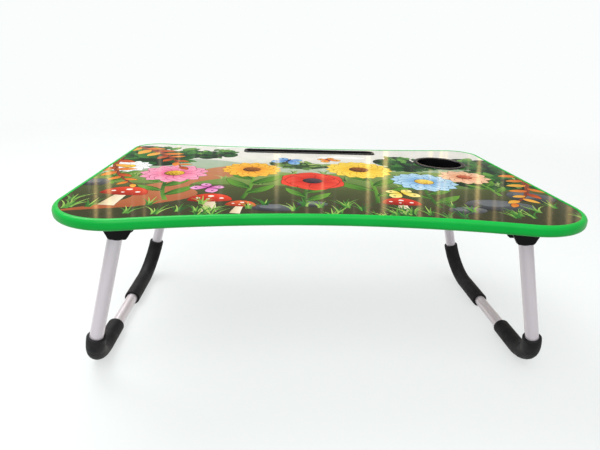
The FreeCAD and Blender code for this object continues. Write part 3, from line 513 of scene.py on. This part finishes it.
def make_sleeve(side, end):
    """A foot sleeve: a circle carried round the bend, its ends rolled in, its inner side lightly creased.

    The creases are a sine along the bend, strongest on the side that faces the bend's centre, and fade
    out toward both ends. Sizes are in millimetres along the sleeve.
    """
    steps = 48
    crease_depth, crease_length = 0.12, 7.0
    crease_start, fade_in = 6, 10
    crease_end, fade_out = 62, 20
    skin_inset, end_rounding, bore_gap, bore_depth = 0.15, 1.5, 0.12, 6
    toward = 1 if end == "front" else -1
    centres, tangents = leg_path(UPRIGHT_Y[end], toward, SLEEVE_START[end], SLEEVE_RUN[end])
    angles = round_angles(steps)
    lengths = np.concatenate([[0], np.cumsum(np.linalg.norm(np.diff(centres, axis=0), axis=1))])
    crease = crease_depth * np.sin(lengths * 2 * math.pi / crease_length)
    crease *= np.clip((crease_end - lengths) / fade_out, 0, 1)
    crease *= np.clip((lengths - crease_start) / fade_in, 0, 1)
    inward = np.clip(toward * np.sin(angles), 0, 1) ** 2
    radii = SLEEVE_RADIUS - skin_inset + crease[:, None] * inward[None, :]
    skin = carried_ring(centres, tangents, radii, steps)
    roll = np.linspace(0, math.pi / 2, 6)
    bore = np.full(steps, TUBE_RADIUS + bore_gap)

    def rolled_end(row, outward):
        """Rings round one end of the skin, into the mouth and a little way down the bore."""
        centre, tangent = centres[[row]], tangents[[row]]
        steps_out = end_rounding * np.sin(roll) - end_rounding
        shrunk = end_rounding * (1 - np.cos(roll))
        rings = [carried_ring(centre + outward * tangent * out, tangent, radii[row] - less, steps)
                 for out, less in zip(steps_out, shrunk)]
        return rings + [carried_ring(centre, tangent, bore, steps),
                        carried_ring(centre - outward * tangent * bore_depth, tangent, bore, steps)]

    keep = (lengths > end_rounding) & (lengths < lengths[-1] - end_rounding)
    grid = np.concatenate(rolled_end(0, -1)[::-1] + [skin[keep]] + rolled_end(-1, 1))
    name = f"foot_sleeve_{end}_{side}"
    piece = solid_from_grid(f"{name}_visual", leg_frame(grid, side), caps=True)
    return show(sharpen(piece, 60), f"{side}_leg", "black_rubber", name)


def rounded_copy(node, body, width):
    """A copy of a moulded CAD piece with its flat facets merged and its edges broken by a small round."""
    piece = new_object(f"{node}_visual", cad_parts[node].data.copy())
    flat, sharp = math.radians(1), math.radians(38)
    for kind, settings in (
        ("WELD", {"merge_threshold": 0.02 * MM}),
        ("DECIMATE", {"decimate_type": "DISSOLVE", "angle_limit": flat}),
        ("BEVEL", {"width": width * MM, "segments": 3, "limit_method": "ANGLE", "angle_limit": sharp}),
    ):
        set_all(piece.modifiers.new(kind.lower(), kind), settings)
    depsgraph = bpy.context.evaluated_depsgraph_get()
    mesh = bpy.data.meshes.new_from_object(piece.evaluated_get(depsgraph))
    piece.modifiers.clear()
    piece.data = mesh
    mesh.shade_smooth()
    return show(sharpen(piece, 30), body, "black_plastic", node)


def make_screw_heads():
    """Pan heads with a cross recess: a flattened dome on a polar grid, sunk where the cross lies.

    At a share of its radius the dome stands height * sqrt(1 - share ** 4) over the plate.
    """
    rows, columns = 26, 48
    radius, height = 3.7, 1.9
    arm_half_width, arm_length, recess_depth = 0.55, 2.1, 1.1
    arm_slope, end_slope = 0.12, 0.5
    shank_radius, shank_depth = 1.7, 0.5
    half_pitch = 7
    turn_step = math.degrees(0.7)
    share = np.linspace(0.02, 1, rows)[:, None]
    angles = round_angles(columns)[None, :]
    x, y = radius * share * np.cos(angles), radius * share * np.sin(angles)
    dome = height * (1 - share ** 4) ** 0.5 + 0 * angles
    arm = np.minimum(np.abs(x), np.abs(y))
    reach = np.maximum(np.abs(x), np.abs(y))
    recess = np.clip((arm_half_width - arm) / arm_slope, 0, 1)
    recess = recess * np.clip((arm_length - reach) / end_slope, 0, 1)
    plate = PIVOT_HEIGHT + PLATE_UNDERSIDE
    head = np.stack([x, y, plate - (dome - recess_depth * recess)], -1)
    neck = lifted(ellipse(angles[0], shank_radius, shank_radius), plate + shank_depth)
    one = np.concatenate([head, neck[None]])
    made = []
    across = [sign * (PIVOT_X + outward) for sign in (1, -1) for outward in SCREW_REACH]
    deep = [UPRIGHT_Y[end] + half for end in ENDS for half in (-half_pitch, half_pitch)]
    places = [(place_x, place_y) for place_x in across for place_y in deep]
    for number, place in enumerate(places):
        spun = one.copy()
        spun[..., :2] = turned(one[..., :2], turn_step * number) + place
        made.append(solid_from_grid(f"screw_{number}", spun, caps=True))
    with bpy.context.temp_override(active_object=made[0], selected_editable_objects=made):
        bpy.ops.object.join()
    made[0].name = "bracket_screws_visual"
    return show(sharpen(made[0], 50), "tabletop", "pin_steel", "bracket_screws")


def backdrop(points):
    """The picture's ground, haze and sky: colours at heights up the picture, drawn a little wavy."""
    heights = [-200, -130, -75, -20, 25, 60, 95, 200]
    colours = np.array([linear(colour)[:3] for colour in (
        "#3A3B24", "#40432A", "#505833", "#7C8A4C", "#B4BF98", "#DEDFD2", "#ECEAE0", "#E9E8E0")])
    wavy = points[:, 1] + 6 * np.sin(points[:, 0] / 41) + 3 * np.sin(points[:, 0] / 17 + points[:, 1] / 23)
    return np.stack([np.interp(wavy, heights, colours[:, k]) for k in range(3)], 1)


shapes = []
rng = np.random.default_rng(11)


def paint(outline, near, far=None, turn=90.0):
    """Lays down a filled outline whose colour runs from near to far in the direction turn, in degrees."""
    outline = np.asarray(outline, float)
    heading = direction(turn)
    reach = outline @ heading
    shapes.append((outline, linear(near)[:3], linear(far or near)[:3], heading, reach.min(), reach.max()))


def oval(centre, width, height, steps=28):
    """Points round an ellipse."""
    return np.array(centre) + ellipse(round_angles(steps), width / 2, height / 2)


def leaf(base, length, width, degrees, curl=0.0, blunt=1.0, steps=9):
    """A leaf or petal from its base: half widths follow a sine raised to a power, along a bent midrib."""
    share = np.linspace(0, 1, steps)
    half = width / 2 * np.sin(math.pi * share ** blunt) ** 0.8
    bend = curl * length * share ** 2
    upper = np.stack([share * length, bend + half], 1)
    lower = np.stack([share * length, bend - half], 1)[::-1][1:-1]
    return np.array(base) + turned(np.vstack([upper, lower]), degrees)


def bowed(start, end, sag, share):
    """Points at some shares of a curve from start to end that bows sideways by sag, and its side."""
    start, end = np.array(start, float), np.array(end, float)
    along = end - start
    side = np.array([-along[1], along[0]]) / np.linalg.norm(along)
    return start + share * along + 4 * sag * share * (1 - share) * side, side


def stalk(start, end, sag, low_width, high_width, steps=9):
    """A tapering strip along a curve from start to end that bows sideways by sag."""
    share = np.linspace(0, 1, steps)[:, None]
    spine, side = bowed(start, end, sag, share)
    half = (low_width + (high_width - low_width) * share) / 2
    return np.vstack([spine + half * side, (spine - half * side)[::-1]])


def course(start, end):
    """The length of the way from start to end, and its direction in degrees."""
    along = np.subtract(end, start)
    return np.linalg.norm(along), math.degrees(math.atan2(along[1], along[0]))


def hill(left, right, crest, height, near, far):
    """A rounded hill: a sine bell to the power 0.8, standing on a block that reaches down to -60."""
    x = np.linspace(left, right, 26)
    y = crest - height + height * np.sin(math.pi * (x - left) / (right - left)) ** 0.8
    paint(np.vstack([np.column_stack([x, y]), [[right, -60], [left, -60]]]), near, far)


def inked(outline, near, far=None, turn=90.0, line="#2B2A1C", grow=0.7):
    """An outline laid over a darker one that is grown by a thin line all round."""
    outline = np.asarray(outline, float)
    middle = outline.mean(0)
    rays = outline - middle
    lengths = np.maximum(np.linalg.norm(rays, axis=1, keepdims=True), grow)
    paint(middle + rays * (1 + grow / lengths), line)
    paint(outline, near, far, turn)


def flower(centre, radius, petals, width, near, far, line, heart):
    """An open flower: a ring of petals behind, a shorter ring before it, and a dotted heart."""
    for offset, share in ((0.5, 1.0), (0.0, 0.82)):
        for petal in range(petals):
            degrees = 360 * (petal + offset) / petals + rng.uniform(-4, 4)
            outline = leaf(centre, radius * share, radius * width, degrees, rng.uniform(-0.05, 0.05), 1.7)
            inked(outline, near, far, degrees, line)
    dark, light = heart
    inked(oval(centre, 0.56 * radius, 0.56 * radius), dark, light, 60)
    dots = 14
    for dot in range(dots):
        place = centre + 0.23 * radius * math.sqrt(dot / dots) * direction(GOLDEN_ANGLE * dot)
        paint(oval(place, 0.06 * radius, 0.06 * radius, 7), light)


def stem(foot, head, sag, width, leaves, near, far):
    """A flower's stem, with leaves standing off it to both sides."""
    paint(stalk(foot, head, sag, width, 0.7 * width), near, far, 0)
    whole, heading = course(foot, head)
    for number, share in enumerate(np.linspace(0.15, 0.6, leaves)):
        way = 1 if number % 2 else -1
        base = bowed(foot, head, sag, share)[0]
        length = whole * rng.uniform(0.36, 0.46)
        outline = leaf(base, length, 0.3 * length, heading + way * rng.uniform(38, 58), -0.12 * way, 0.85)
        inked(outline, near, far, heading + way * 90)
        paint(stalk(base, base + 0.86 * length * direction(heading + way * 48), 0, 1.1, 0.4, 4), far)


def bush(centre, width, height, size, count, shades):
    """A leafy bush: a dark mass, then leaves from its crown down, each turned outward and lit above."""
    centre = np.array(centre, float)
    lumps = rng.uniform(-0.36, 0.36, (9, 2)) * (width, height) + centre
    for lump in lumps:
        paint(oval(lump, 0.5 * width, 0.5 * height, 20), shades[0])
    spots = []
    while len(spots) < count:
        spot = rng.uniform(-0.5, 0.5, 2)
        if np.hypot(*spot) < 0.42:
            spots.append(spot)
    for across, up in sorted(spots, key=lambda spot: -spot[1]):
        base = centre + (across * width, up * height)
        degrees = math.degrees(math.atan2(up + 0.25, across)) + rng.uniform(-45, 45)
        tone = int(np.clip(2 + 2.4 * up + rng.uniform(-1.2, 1.2), 1, len(shades) - 2))
        length = size * rng.uniform(0.75, 1.25)
        outline = leaf(base, length, 0.55 * length, degrees, rng.uniform(-0.15, 0.15), 0.9, 7)
        inked(outline, shades[tone], shades[tone + 1], degrees, shades[0], 0.5)


def grass(left, right, low, high, tufts, length, shades):
    """Tufts of grass over a stretch of ground, the nearest last: each a fan of tapering bent blades."""
    blades = 5
    feet = np.column_stack([rng.uniform(left, right, tufts), rng.uniform(low, high, tufts)])
    for foot in feet[np.argsort(-feet[:, 1])]:
        for lean in rng.permutation(np.linspace(-34, 34, blades)) + rng.uniform(-6, 6, blades):
            tip = foot + length * rng.uniform(0.6, 1.1) * direction(90 - lean)
            tone = rng.integers(len(shades) - 1)
            blade = stalk(foot + (0.06 * lean, 0), tip, 0.1 * lean, 3.4, 0.3, 6)
            paint(blade, shades[tone], shades[tone + 1])


def cloud(centre, width, colour):
    """A soft cloud: overlapping ovals on a common base."""
    for across, up, share in ((-0.34, 0, 0.42), (-0.1, 0.07, 0.52), (0.18, 0.05, 0.48), (0.38, 0, 0.34)):
        place = (centre[0] + across * width, centre[1] + up * width)
        paint(oval(place, share * width, 0.2 * width), colour)


def toadstool(foot, height, lean, cap, line):
    """A toadstool: a pale tapering stem under a half-round spotted cap."""
    top = (foot[0] + lean, foot[1] + height)
    inked(stalk(foot, top, 0.1 * lean, 0.42 * height, 0.28 * height), "#C9B28C", "#F1E6CC", 0)
    dome = ellipse(np.linspace(0, math.pi, 20), 0.62 * height, 0.62 * height)
    brim = ellipse(np.linspace(math.pi, 2 * math.pi, 12)[1:-1], 0.62 * height, 0.14 * height)
    inked(top + turned(np.vstack([dome, brim]), -1.2 * lean), line, cap, 70, line)
    for across, up, size in ((-0.34, 0.2, 0.13), (0.02, 0.38, 0.18), (0.33, 0.17, 0.14), (-0.05, 0.1, 0.1)):
        spot = top + turned(np.array([across * height, up * height]), -1.2 * lean)
        paint(oval(spot, size * height, 0.8 * size * height, 14), "#F6EFE2")


def butterfly(centre, size, degrees, near, far, line):
    """A butterfly from above: two large and two small wings, and a body."""
    for way in (1, -1):
        for heading, length, width in ((128, 0.5, 0.34), (52, 0.62, 0.42)):
            turn = degrees + way * (180 - heading)
            inked(leaf(centre, size * length, size * width, turn, 0.06 * way, 1.5), near, far, turn, line)
            spot = np.array(centre) + 0.68 * size * length * direction(turn)
            paint(oval(spot, 0.09 * size, 0.09 * size, 10), line)
    paint(leaf(np.array(centre) - 0.3 * size * direction(degrees), 0.62 * size, 0.09 * size, degrees), line)


def pebble(centre, width, height, near, far):
    """A rounded stone, uneven round its edge, with a paler patch on top."""
    angles = round_angles(22)
    reach = 1 + 0.06 * np.sin(2 * angles + rng.uniform(0, 6))
    reach = reach + 0.04 * np.sin(3 * angles + rng.uniform(0, 6))
    ring = ellipse(angles, width / 2 * reach, height / 2 * reach)
    inked(centre + ring, near, far, 75)
    paint(centre + 0.5 * ring + (-0.06 * width, 0.14 * height), far)


def spray(start, end, sag, size, count, shades):
    """A twig with leaves to both sides of it and one at its tip, smaller toward the tip."""
    paint(stalk(start, end, sag, 0.42 * size, 0.1 * size, 14), "#7A3B28", "#A65A3C", 90)
    heading = course(start, end)[1]
    for number, share in enumerate(np.linspace(0.08, 1, count)):
        base = bowed(start, end, sag, share)[0]
        way = (1 if number % 2 else -1) * (0 if number == count - 1 else 1)
        length = size * (1.2 - 0.5 * share) * rng.uniform(0.85, 1.15)
        tone = rng.integers(len(shades) - 1)
        turn = heading + way * rng.uniform(35, 70)
        inked(leaf(base, length, 0.48 * length, turn, rng.uniform(-0.15, 0.15), 0.85),
              shades[tone], shades[tone + 1], turn, "#3A2415")


def winding_path(places, near, far):
    """A ribbon through places given as (x, y, width), smoothed between them."""
    places = np.array(places, float)
    fine = np.linspace(0, len(places) - 1, 40)
    smooth = np.stack([np.interp(fine, np.arange(len(places)), places[:, k]) for k in range(3)], 1)
    window = 7
    ends = [end.repeat(window // 2, 0) for end in (smooth[:1], smooth[-1:])]
    padded = np.vstack([ends[0], smooth, ends[1]])
    smooth = np.stack([np.convolve(padded[:, k], np.ones(window) / window, "valid") for k in range(3)], 1)
    half = smooth[:, 2:] / 2 * (1.0, 0.25)
    paint(np.vstack([smooth[:, :2] - half, (smooth[:, :2] + half)[::-1]]), near, far)


LEAF_GREENS = ("#16301A", "#1F4A23", "#2F6A2C", "#4A8A36", "#78AC48", "#A9CB66")
PALE_GREENS = ("#39502F", "#557A41", "#76994F", "#94B25E", "#B7CC7C")
WARM_LEAVES = ("#A63A1E", "#D9682A", "#EF9A38", "#F2C14C")
GOLDEN_ANGLE = 137.5


def paint_print():
    """The picture on the table: a garden with large flowers, from the farthest thing to the nearest."""
    hill(-330, -60, 84, 60, "#8FA77F", "#B7C6B0")
    hill(-140, 170, 66, 42, "#9DB08C", "#C3CFBC")
    hill(60, 340, 92, 66, "#86A074", "#B0C1A4")
    for centre, width in (((-60, 172), 90), ((50, 112), 70), ((10, 178), 120), ((-130, 178), 60)):
        cloud(centre, width, "#FBFAF6")
    hill(-300, 40, 18, 40, "#6E8A45", "#93A95F")
    hill(-40, 330, 26, 46, "#5F7C3E", "#88A25A")
    winding_path([(-262, -170, 92), (-176, -120, 76), (-206, -66, 58), (-122, -20, 44), (-150, 20, 28),
                  (-112, 46, 16)], "#A4552F", "#C98B63")
    for centre, width, height, size, count, shades in (
        ((-240, 104), 130, 124, 26, 60, LEAF_GREENS), ((-152, 122), 58, 66, 15, 46, LEAF_GREENS),
        ((148, 76), 84, 96, 20, 50, LEAF_GREENS), ((268, 62), 92, 112, 25, 50, LEAF_GREENS),
        ((252, -18), 120, 84, 24, 50, LEAF_GREENS), ((-20, 56), 80, 44, 14, 30, PALE_GREENS),
    ):
        bush(centre, width, height, size, count, shades)
    grass(-290, 290, -62, 6, 26, 26, PALE_GREENS)
    for centre, width, height in (((206, -128), 78, 44), ((262, -92), 58, 46), ((160, -148), 44, 26),
                                  ((-60, -150), 46, 26), ((-16, -134), 34, 22), ((-286, -60), 40, 34)):
        pebble(centre, width, height, "#23262A", "#6C7073")
    flowers = (
        ((-182, -128), 8, (-196, -8), 47, 13, 0.46, "#E4407C", "#F7A9C4", "#8E1F4A", ("#6D4A12", "#F2C230")),
        ((-96, -118), -6, (-92, 22), 43, 15, 0.46, "#F08A1D", "#FBC64A", "#9A4A10", ("#4A2A12", "#A8642A")),
        ((-22, -140), 5, (-8, -34), 45, 6, 0.95, "#C01A1A", "#F0503A", "#6B0F12", ("#1C1A1C", "#5B4A52")),
        ((62, -126), -7, (66, 34), 50, 17, 0.46, "#F7B90F", "#FFE05A", "#A86A0E", ("#3C2210", "#9C5A20")),
        ((132, -140), 6, (146, -28), 46, 14, 0.46, "#3E8FD0", "#BFE3F4", "#1E4C86", ("#B9821A", "#FBDF5C")),
        ((226, -88), -5, (214, 2), 37, 12, 0.46, "#F0935E", "#FBD3AE", "#9C4D2C", ("#7A2F1E", "#E0704A")),
        ((-262, -66), 4, (-268, 26), 33, 12, 0.46, "#F4F2EC", "#FFFFFF", "#8B8FA0", ("#C98D12", "#FBD84A")),
    )
    for foot, sag, head, *_ in flowers:
        stem(foot, head, sag, 5.5, 4, "#22541F", "#6FA53C")
    for _, _, *bloom in flowers:
        flower(*bloom)
    butterfly((-38, 84), 46, 70, "#2E6FC0", "#9CCBF0", "#152A55")
    butterfly((26, 96), 34, 115, "#E85A2A", "#F9C04A", "#4A1A10")
    butterfly((100, -84), 40, 100, "#F2D02C", "#FFF3A0", "#5A4410")
    butterfly((-140, -74), 38, 60, "#C74AA0", "#F3B3DE", "#4A1440")
    toadstool((-128, -166), 40, -4, "#E84A2E", "#8E1A12")
    toadstool((-100, -170), 27, 4, "#EE6A3C", "#9A2A18")
    toadstool((86, -164), 36, 4, "#E2412C", "#86160F")
    toadstool((-240, -150), 44, 5, "#E9502F", "#8E1A12")
    grass(-296, 296, -184, -132, 44, 32, LEAF_GREENS[1:])
    spray((-300, 168), (-196, 30), 16, 30, 13, WARM_LEAVES)
    spray((-298, 92), (-236, -66), -14, 27, 12, WARM_LEAVES)
    spray((300, 30), (230, -118), 16, 26, 12, WARM_LEAVES)


def split_at_lines(starts, ends, axis, size):
    """Cuts segments wherever they cross the lines at whole multiples of size along one axis."""
    done = []
    cells = np.floor(starts[:, axis] / size)
    last = np.floor(ends[:, axis] / size)
    while len(starts):
        within = cells == last
        done.append((starts[within], ends[within]))
        starts, ends, cells, last = (array[~within] for array in (starts, ends, cells, last))
        step = np.sign(last - cells)
        line = (cells + (step > 0)) * size
        share = (line - starts[:, axis]) / (ends[:, axis] - starts[:, axis])
        crossing = starts + share[:, None] * (ends - starts)
        crossing[:, axis] = line
        done.append((starts, crossing))
        starts, cells = crossing, cells + step
    return [np.vstack(side) for side in zip(*done)]


def inside(points, outline):
    """Which points lie inside an outline, by counting the sides above each point."""
    x, y = points[:, :1], points[:, 1:]
    start, end = outline, np.roll(outline, -1, 0)
    spans = (start[:, 0] > x) != (end[:, 0] > x)
    run = np.where(start[:, 0] == end[:, 0], 1, end[:, 0] - start[:, 0])
    height = start[:, 1] + (x - start[:, 0]) * (end[:, 1] - start[:, 1]) / run
    return (spans & (height > y)).sum(1) % 2 == 1


def on_sheet(points, edge, holes):
    """Which points lie inside the sheet's edge and outside its holes."""
    return inside(points, edge) & ~np.any([inside(points, hole) for hole in holes], 0)


def triangulate(outlines):
    """Triangles that cover the table and have every outline among their edges.

    The outlines are cut into square tiles and each tile is triangulated by itself. Neighbouring tiles
    share the places where outlines cross their common side, so the tiles fit together without gaps.
    The tiles have an odd size, so that no corner of an outline lies exactly on a border.
    """
    size, across = 23.37, 3
    starts = np.vstack(outlines)
    ends = np.vstack([np.roll(outline, -1, 0) for outline in outlines])
    for axis in (0, 1):
        starts, ends = split_at_lines(starts, ends, axis, size)
    tiles = np.floor((starts + ends) / 2 / size).astype(int)
    members = {}
    for number, tile in enumerate(tiles):
        members.setdefault(tuple(tile), []).append(number)
    square = np.array([(0, 0), (1, 0), (1, 1), (0, 1)]) * size
    inner = (np.arange(across) + 0.5) * size / across
    lattice = np.stack(np.meshgrid(inner, inner), -1).reshape(-1, 2)
    places, corners = [], []
    total = 0
    for column in range(math.floor(-HALF_LENGTH / size), math.ceil(HALF_LENGTH / size)):
        for row in range(math.floor(-HALF_DEPTH / size), math.ceil(HALF_DEPTH / size)):
            chosen = members.get((column, row), [])
            origin = np.array([column, row]) * size
            points = np.vstack([square + origin, lattice + origin, starts[chosen], ends[chosen]])
            first = len(square) + len(lattice)
            edges = [(first + k, first + len(chosen) + k) for k in range(len(chosen))]
            cut = delaunay_2d_cdt([Vector(point) for point in points], edges, [], 0, 1e-5, False)
            places.append(np.array([vertex[:] for vertex in cut[0]]))
            corners.append(np.array(cut[2]) + total)
            total += len(cut[0])
    places, renumbered = np.unique(np.round(np.vstack(places), 4), axis=0, return_inverse=True)
    corners = renumbered.ravel()[np.vstack(corners)]
    whole = (corners != np.roll(corners, 1, 1)).all(1)
    return places, corners[whole]


def topmost_shapes(middle):
    """For each point the number of the last shape laid over it, or -1 where the backdrop shows."""
    order = np.argsort(middle[:, 0])
    ordered = middle[order]
    owner = np.full(len(middle), -1)
    for number, shape in enumerate(shapes):
        low, high = shape[0].min(0), shape[0].max(0)
        first, last = np.searchsorted(ordered[:, 0], (low[0], high[0]))
        span = ordered[first:last]
        near = np.flatnonzero((span[:, 1] > low[1]) & (span[:, 1] < high[1]))
        covered = near[inside(span[near], shape[0])]
        owner[first + covered] = number
    unordered = np.empty_like(owner)
    unordered[order] = owner
    return unordered


def shape_colours(places, corners):
    """A colour for each corner of each triangle, from the shape over the triangle or the backdrop."""
    colour = backdrop(places[corners].reshape(-1, 2)).reshape(-1, 3, 3)
    owner = topmost_shapes(places[corners].mean(1))
    drawn = owner >= 0
    shape_of = owner[drawn]
    near, far, heading, low, high = (np.array([shape[k] for shape in shapes]) for k in range(1, 6))
    reach = np.einsum("fck,fk->fc", places[corners[drawn]], heading[shape_of])
    extent = np.maximum(high - low, 1e-6)[shape_of, None]
    share = np.clip((reach - low[shape_of, None]) / extent, 0, 1)[..., None]
    colour[drawn] = near[shape_of, None] * (1 - share) + far[shape_of, None] * share
    return colour


def side_keys(corners, count):
    """Numbers for the directed sides of some triangles, and for the same sides run backwards."""
    starts, ends = corners, np.roll(corners, -1, 1)
    return starts * count + ends, ends * count + starts


def sheet_from_top(name, places, corners, edge, holes):
    """A closed thin sheet under a triangulated top face: walls below its open edges, and an underside.

    The underside is triangulated from the rim alone. Its triangles beside the rim are kept where they
    lie on the same side of it as the top face does, and the others where their middle is on the sheet.
    """
    used, renumbered = np.unique(corners, return_inverse=True)
    top = renumbered.reshape(corners.shape)
    count = len(used)
    forwards, backwards = side_keys(top, count)
    is_open = ~np.isin(forwards, backwards)
    rim = np.stack([top[is_open], np.roll(top, -1, 1)[is_open]], 1)
    ring = np.unique(rim)
    local_rim = np.searchsorted(ring, rim)
    flat = places[used]
    cut = delaunay_2d_cdt([Vector(point) for point in flat[ring]], local_rim.tolist(), [], 0, 1e-6, False)
    under = np.array(cut[2])
    covered = on_sheet(flat[ring][under].mean(1), edge, holes)
    rim_keys = local_rim[:, 0] * len(ring) + local_rim[:, 1]
    forwards, backwards = side_keys(under, len(ring))
    within = np.isin(forwards, rim_keys).any(1)
    beyond = np.isin(backwards, rim_keys).any(1)
    under = count + under[within | (covered & ~beyond)][:, ::-1]
    below = count + local_rim
    walls = np.stack([rim[:, 0], below[:, 0], below[:, 1], rim[:, 1]], 1)
    points = np.vstack([lifted(flat, PRINT_TOP), lifted(flat[ring], PRINT_UNDERSIDE)]) * MM
    mesh = bpy.data.meshes.new(name)
    mesh.from_pydata(points.tolist(), [], top.tolist() + under.tolist() + walls.tolist())
    return mesh


def make_printed_top():
    """The printed sheet: the picture's outlines cut into one flat mesh, each face in its shape's colour."""
    edge = table_outline(LIP_WIDTH + LAMINATE_GAP)
    holes = [cup_ring(CUP_FLANGE_RADIUS), slot_ring(SLOT_RIM)]
    paint_print()
    places, corners = triangulate([edge] + [shape[0] for shape in shapes] + holes)
    corners = corners[on_sheet(places[corners].mean(1), edge, holes)]
    colour = shape_colours(places, corners)
    mesh = sheet_from_top("printed_laminate_visual", places, corners, edge, holes)
    ink = np.ones((len(mesh.loops), 4))
    ink[:, :3] = linear("#DCDAD2")[:3]
    ink[:corners.size, :3] = colour.reshape(-1, 3)
    mesh.attributes.new("ink", "FLOAT_COLOR", "CORNER").data.foreach_set("color", ink.ravel())
    return show(new_object(mesh.name, mesh), "tabletop", "printed_laminate", "printed_laminate")


def dress_cad_nodes():
    """The pieces whose CAD shape is right keep it, and get their finish."""
    kept = [("board_core", "fibreboard"), ("backing_laminate", "backing_laminate")]
    kept += [(f"hinge_pin_{end}_{side}", "pin_steel") for side in SIDES for end in ENDS]
    for node, slot in kept:
        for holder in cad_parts[node].material_slots:
            holder.material = MATERIALS[slot]


def set_camera():
    """The photograph's viewpoint: place in millimetres, angles in radians, focal length in its pixels."""
    place = Vector((-56.75, -624.56, 383.54)) * MM
    yaw, pitch, roll = 0.0576, 0.362, 0.0354
    focal, width = 455.0, 600
    ahead = Vector((math.sin(yaw) * math.cos(pitch), math.cos(yaw) * math.cos(pitch), -math.sin(pitch)))
    level = Vector((math.cos(yaw), -math.sin(yaw), 0))
    above = level.cross(ahead)
    right = level * math.cos(roll) + above * math.sin(roll)
    up = above * math.cos(roll) - level * math.sin(roll)
    data = bpy.data.cameras.new("camera")
    data.sensor_width = 36
    data.lens = focal / width * data.sensor_width
    data.clip_start = 0.01
    camera = new_object("camera", data)
    camera.matrix_world = Matrix.Translation(place) @ Matrix((right, up, -ahead)).transposed().to_4x4()
    bpy.context.scene.camera = camera


def add_lamp(name, place, power):
    """A soft square lamp that the camera doesn't see, in metres and watts, aimed at the table."""
    side, aim_height = 1.4, 0.15
    data = bpy.data.lights.new(name, "AREA")
    data.shape = "RECTANGLE"
    data.size = data.size_y = side
    data.energy = power
    lamp = new_object(name, data)
    aim = Vector((0, 0, aim_height)) - Vector(place)
    lamp.matrix_world = Matrix.Translation(place) @ aim.to_track_quat("-Z", "Y").to_matrix().to_4x4()
    lamp.visible_camera = False


def make_floor():
    """A pale floor that fades into the pale background some way off, and is clear from below."""
    steps, radius = 96, 2.6
    fade_start, fade_end, strength = 0.45, 2.4, 0.37
    ring = lifted(ellipse(round_angles(steps), radius, radius), 0)
    mesh = bpy.data.meshes.new("floor")
    mesh.from_pydata(ring.tolist(), [], [list(range(steps))])
    floor = new_object("floor", mesh)
    material, tree, shader = new_material(
        "matt_white_floor", Base_Color=linear("#EDF1F2"), Roughness=0.9, Specular_IOR_Level=0.15)
    place = add_node(tree, "TexCoord").outputs["Object"]
    away = add_node(tree, "VectorMath", {0: place}, operation="LENGTH").outputs["Value"]
    solid = add_node(tree, "MapRange", {
        "Value": away, "From Min": fade_start, "From Max": fade_end, "To Min": strength, "To Max": 0,
    }).outputs["Result"]
    below = add_node(tree, "NewGeometry").outputs["Backfacing"]
    alpha = add_node(tree, "Mix", {0: below, 2: solid, 3: 0.0}).outputs[0]
    tree.links.new(alpha, shader.inputs["Alpha"])
    mesh.materials.append(material)


def set_world():
    """A pale studio: near white where it is seen, and another light for what the table gets.

    That light is even overhead. Lower down it is bright in front of the table and dim behind it, where
    tall soft warm streaks stand, and along the horizon it is dim in front and bright behind.
    """
    overhead = 0.65
    world = bpy.data.worlds.new("studio")
    world.use_nodes = True
    bpy.context.scene.world = world
    tree = world.node_tree
    background = tree.nodes["Background"]
    heading = add_node(tree, "TexCoord").outputs["Generated"]
    parts = add_node(tree, "SeparateXYZ", {"Vector": heading}).outputs
    stretched = add_node(tree, "Mapping", {"Vector": heading, "Scale": (90, 1, 2.4)}).outputs["Vector"]
    noise = add_node(tree, "TexNoise", {"Vector": stretched, "Scale": 1.0, "Detail": 1.0}).outputs["Fac"]
    levels = {}
    for name, value, start, end, first, last in (
        ("streak", noise, 0.59, 0.72, 0, 1.8),
        ("behind", parts["Y"], 0.3, 0.7, 0, 1),
        ("side", parts["Y"], -0.3, 0.6, 0.75, 0.10),
        ("horizon", parts["Y"], 0.0, 0.5, 0.35, 0.8),
        ("raised", parts["Z"], 0.08, 0.22, 0, 1),
        ("high", parts["Z"], 0.45, 0.8, 0, 1),
    ):
        levels[name] = add_node(tree, "MapRange", {
            "Value": value, "From Min": start, "From Max": end, "To Min": first, "To Max": last,
        }).outputs["Result"]
    streak, behind = levels["streak"], levels["behind"]
    streaks = add_node(tree, "Math", {0: streak, 1: behind}, operation="MULTIPLY").outputs[0]
    side = add_node(tree, "Math", {0: levels["side"], 1: streaks}, operation="ADD").outputs[0]
    low = add_node(tree, "Mix", {0: levels["raised"], 2: levels["horizon"], 3: side}).outputs[0]
    lighting = add_node(tree, "Mix", {0: levels["high"], 2: low, 3: overhead}).outputs[0]
    rays = add_node(tree, "LightPath").outputs
    direct, through = rays["Is Camera Ray"], rays["Is Transmission Ray"]
    seen = add_node(tree, "Math", {0: direct, 1: through}, operation="MAXIMUM").outputs[0]
    strength = add_node(tree, "Mix", {0: seen, 2: lighting, 3: 1.0}).outputs[0]
    plain, warm = linear("#FFFFFF"), linear("#FFDC9C")
    tint = add_node(tree, "Mix", {0: streaks, 6: plain, 7: warm}, data_type="RGBA").outputs[2]
    shown = linear("#FAFDFC")
    colour = add_node(tree, "Mix", {0: seen, 6: tint, 7: shown}, data_type="RGBA").outputs[2]
    tree.links.new(strength, background.inputs["Strength"])
    tree.links.new(colour, background.inputs["Color"])


make_band()
make_printed_top()
make_cup()
make_slot()
make_screw_heads()
for side in SIDES:
    make_tube(side)
    for end in ENDS:
        make_sleeve(side, end)
        rounded_copy(f"hinge_housing_{end}_{side}", "tabletop", 0.5)
        rounded_copy(f"leg_knuckle_{end}_{side}", f"{side}_leg", 0.4)
dress_cad_nodes()

make_floor()
set_world()
set_camera()
add_lamp("key", (-0.85, 0.9, 1.85), 31)
add_lamp("front", (-0.3, -1.2, 1.7), 18)

bpy.context.scene.view_settings.view_transform = "Standard"
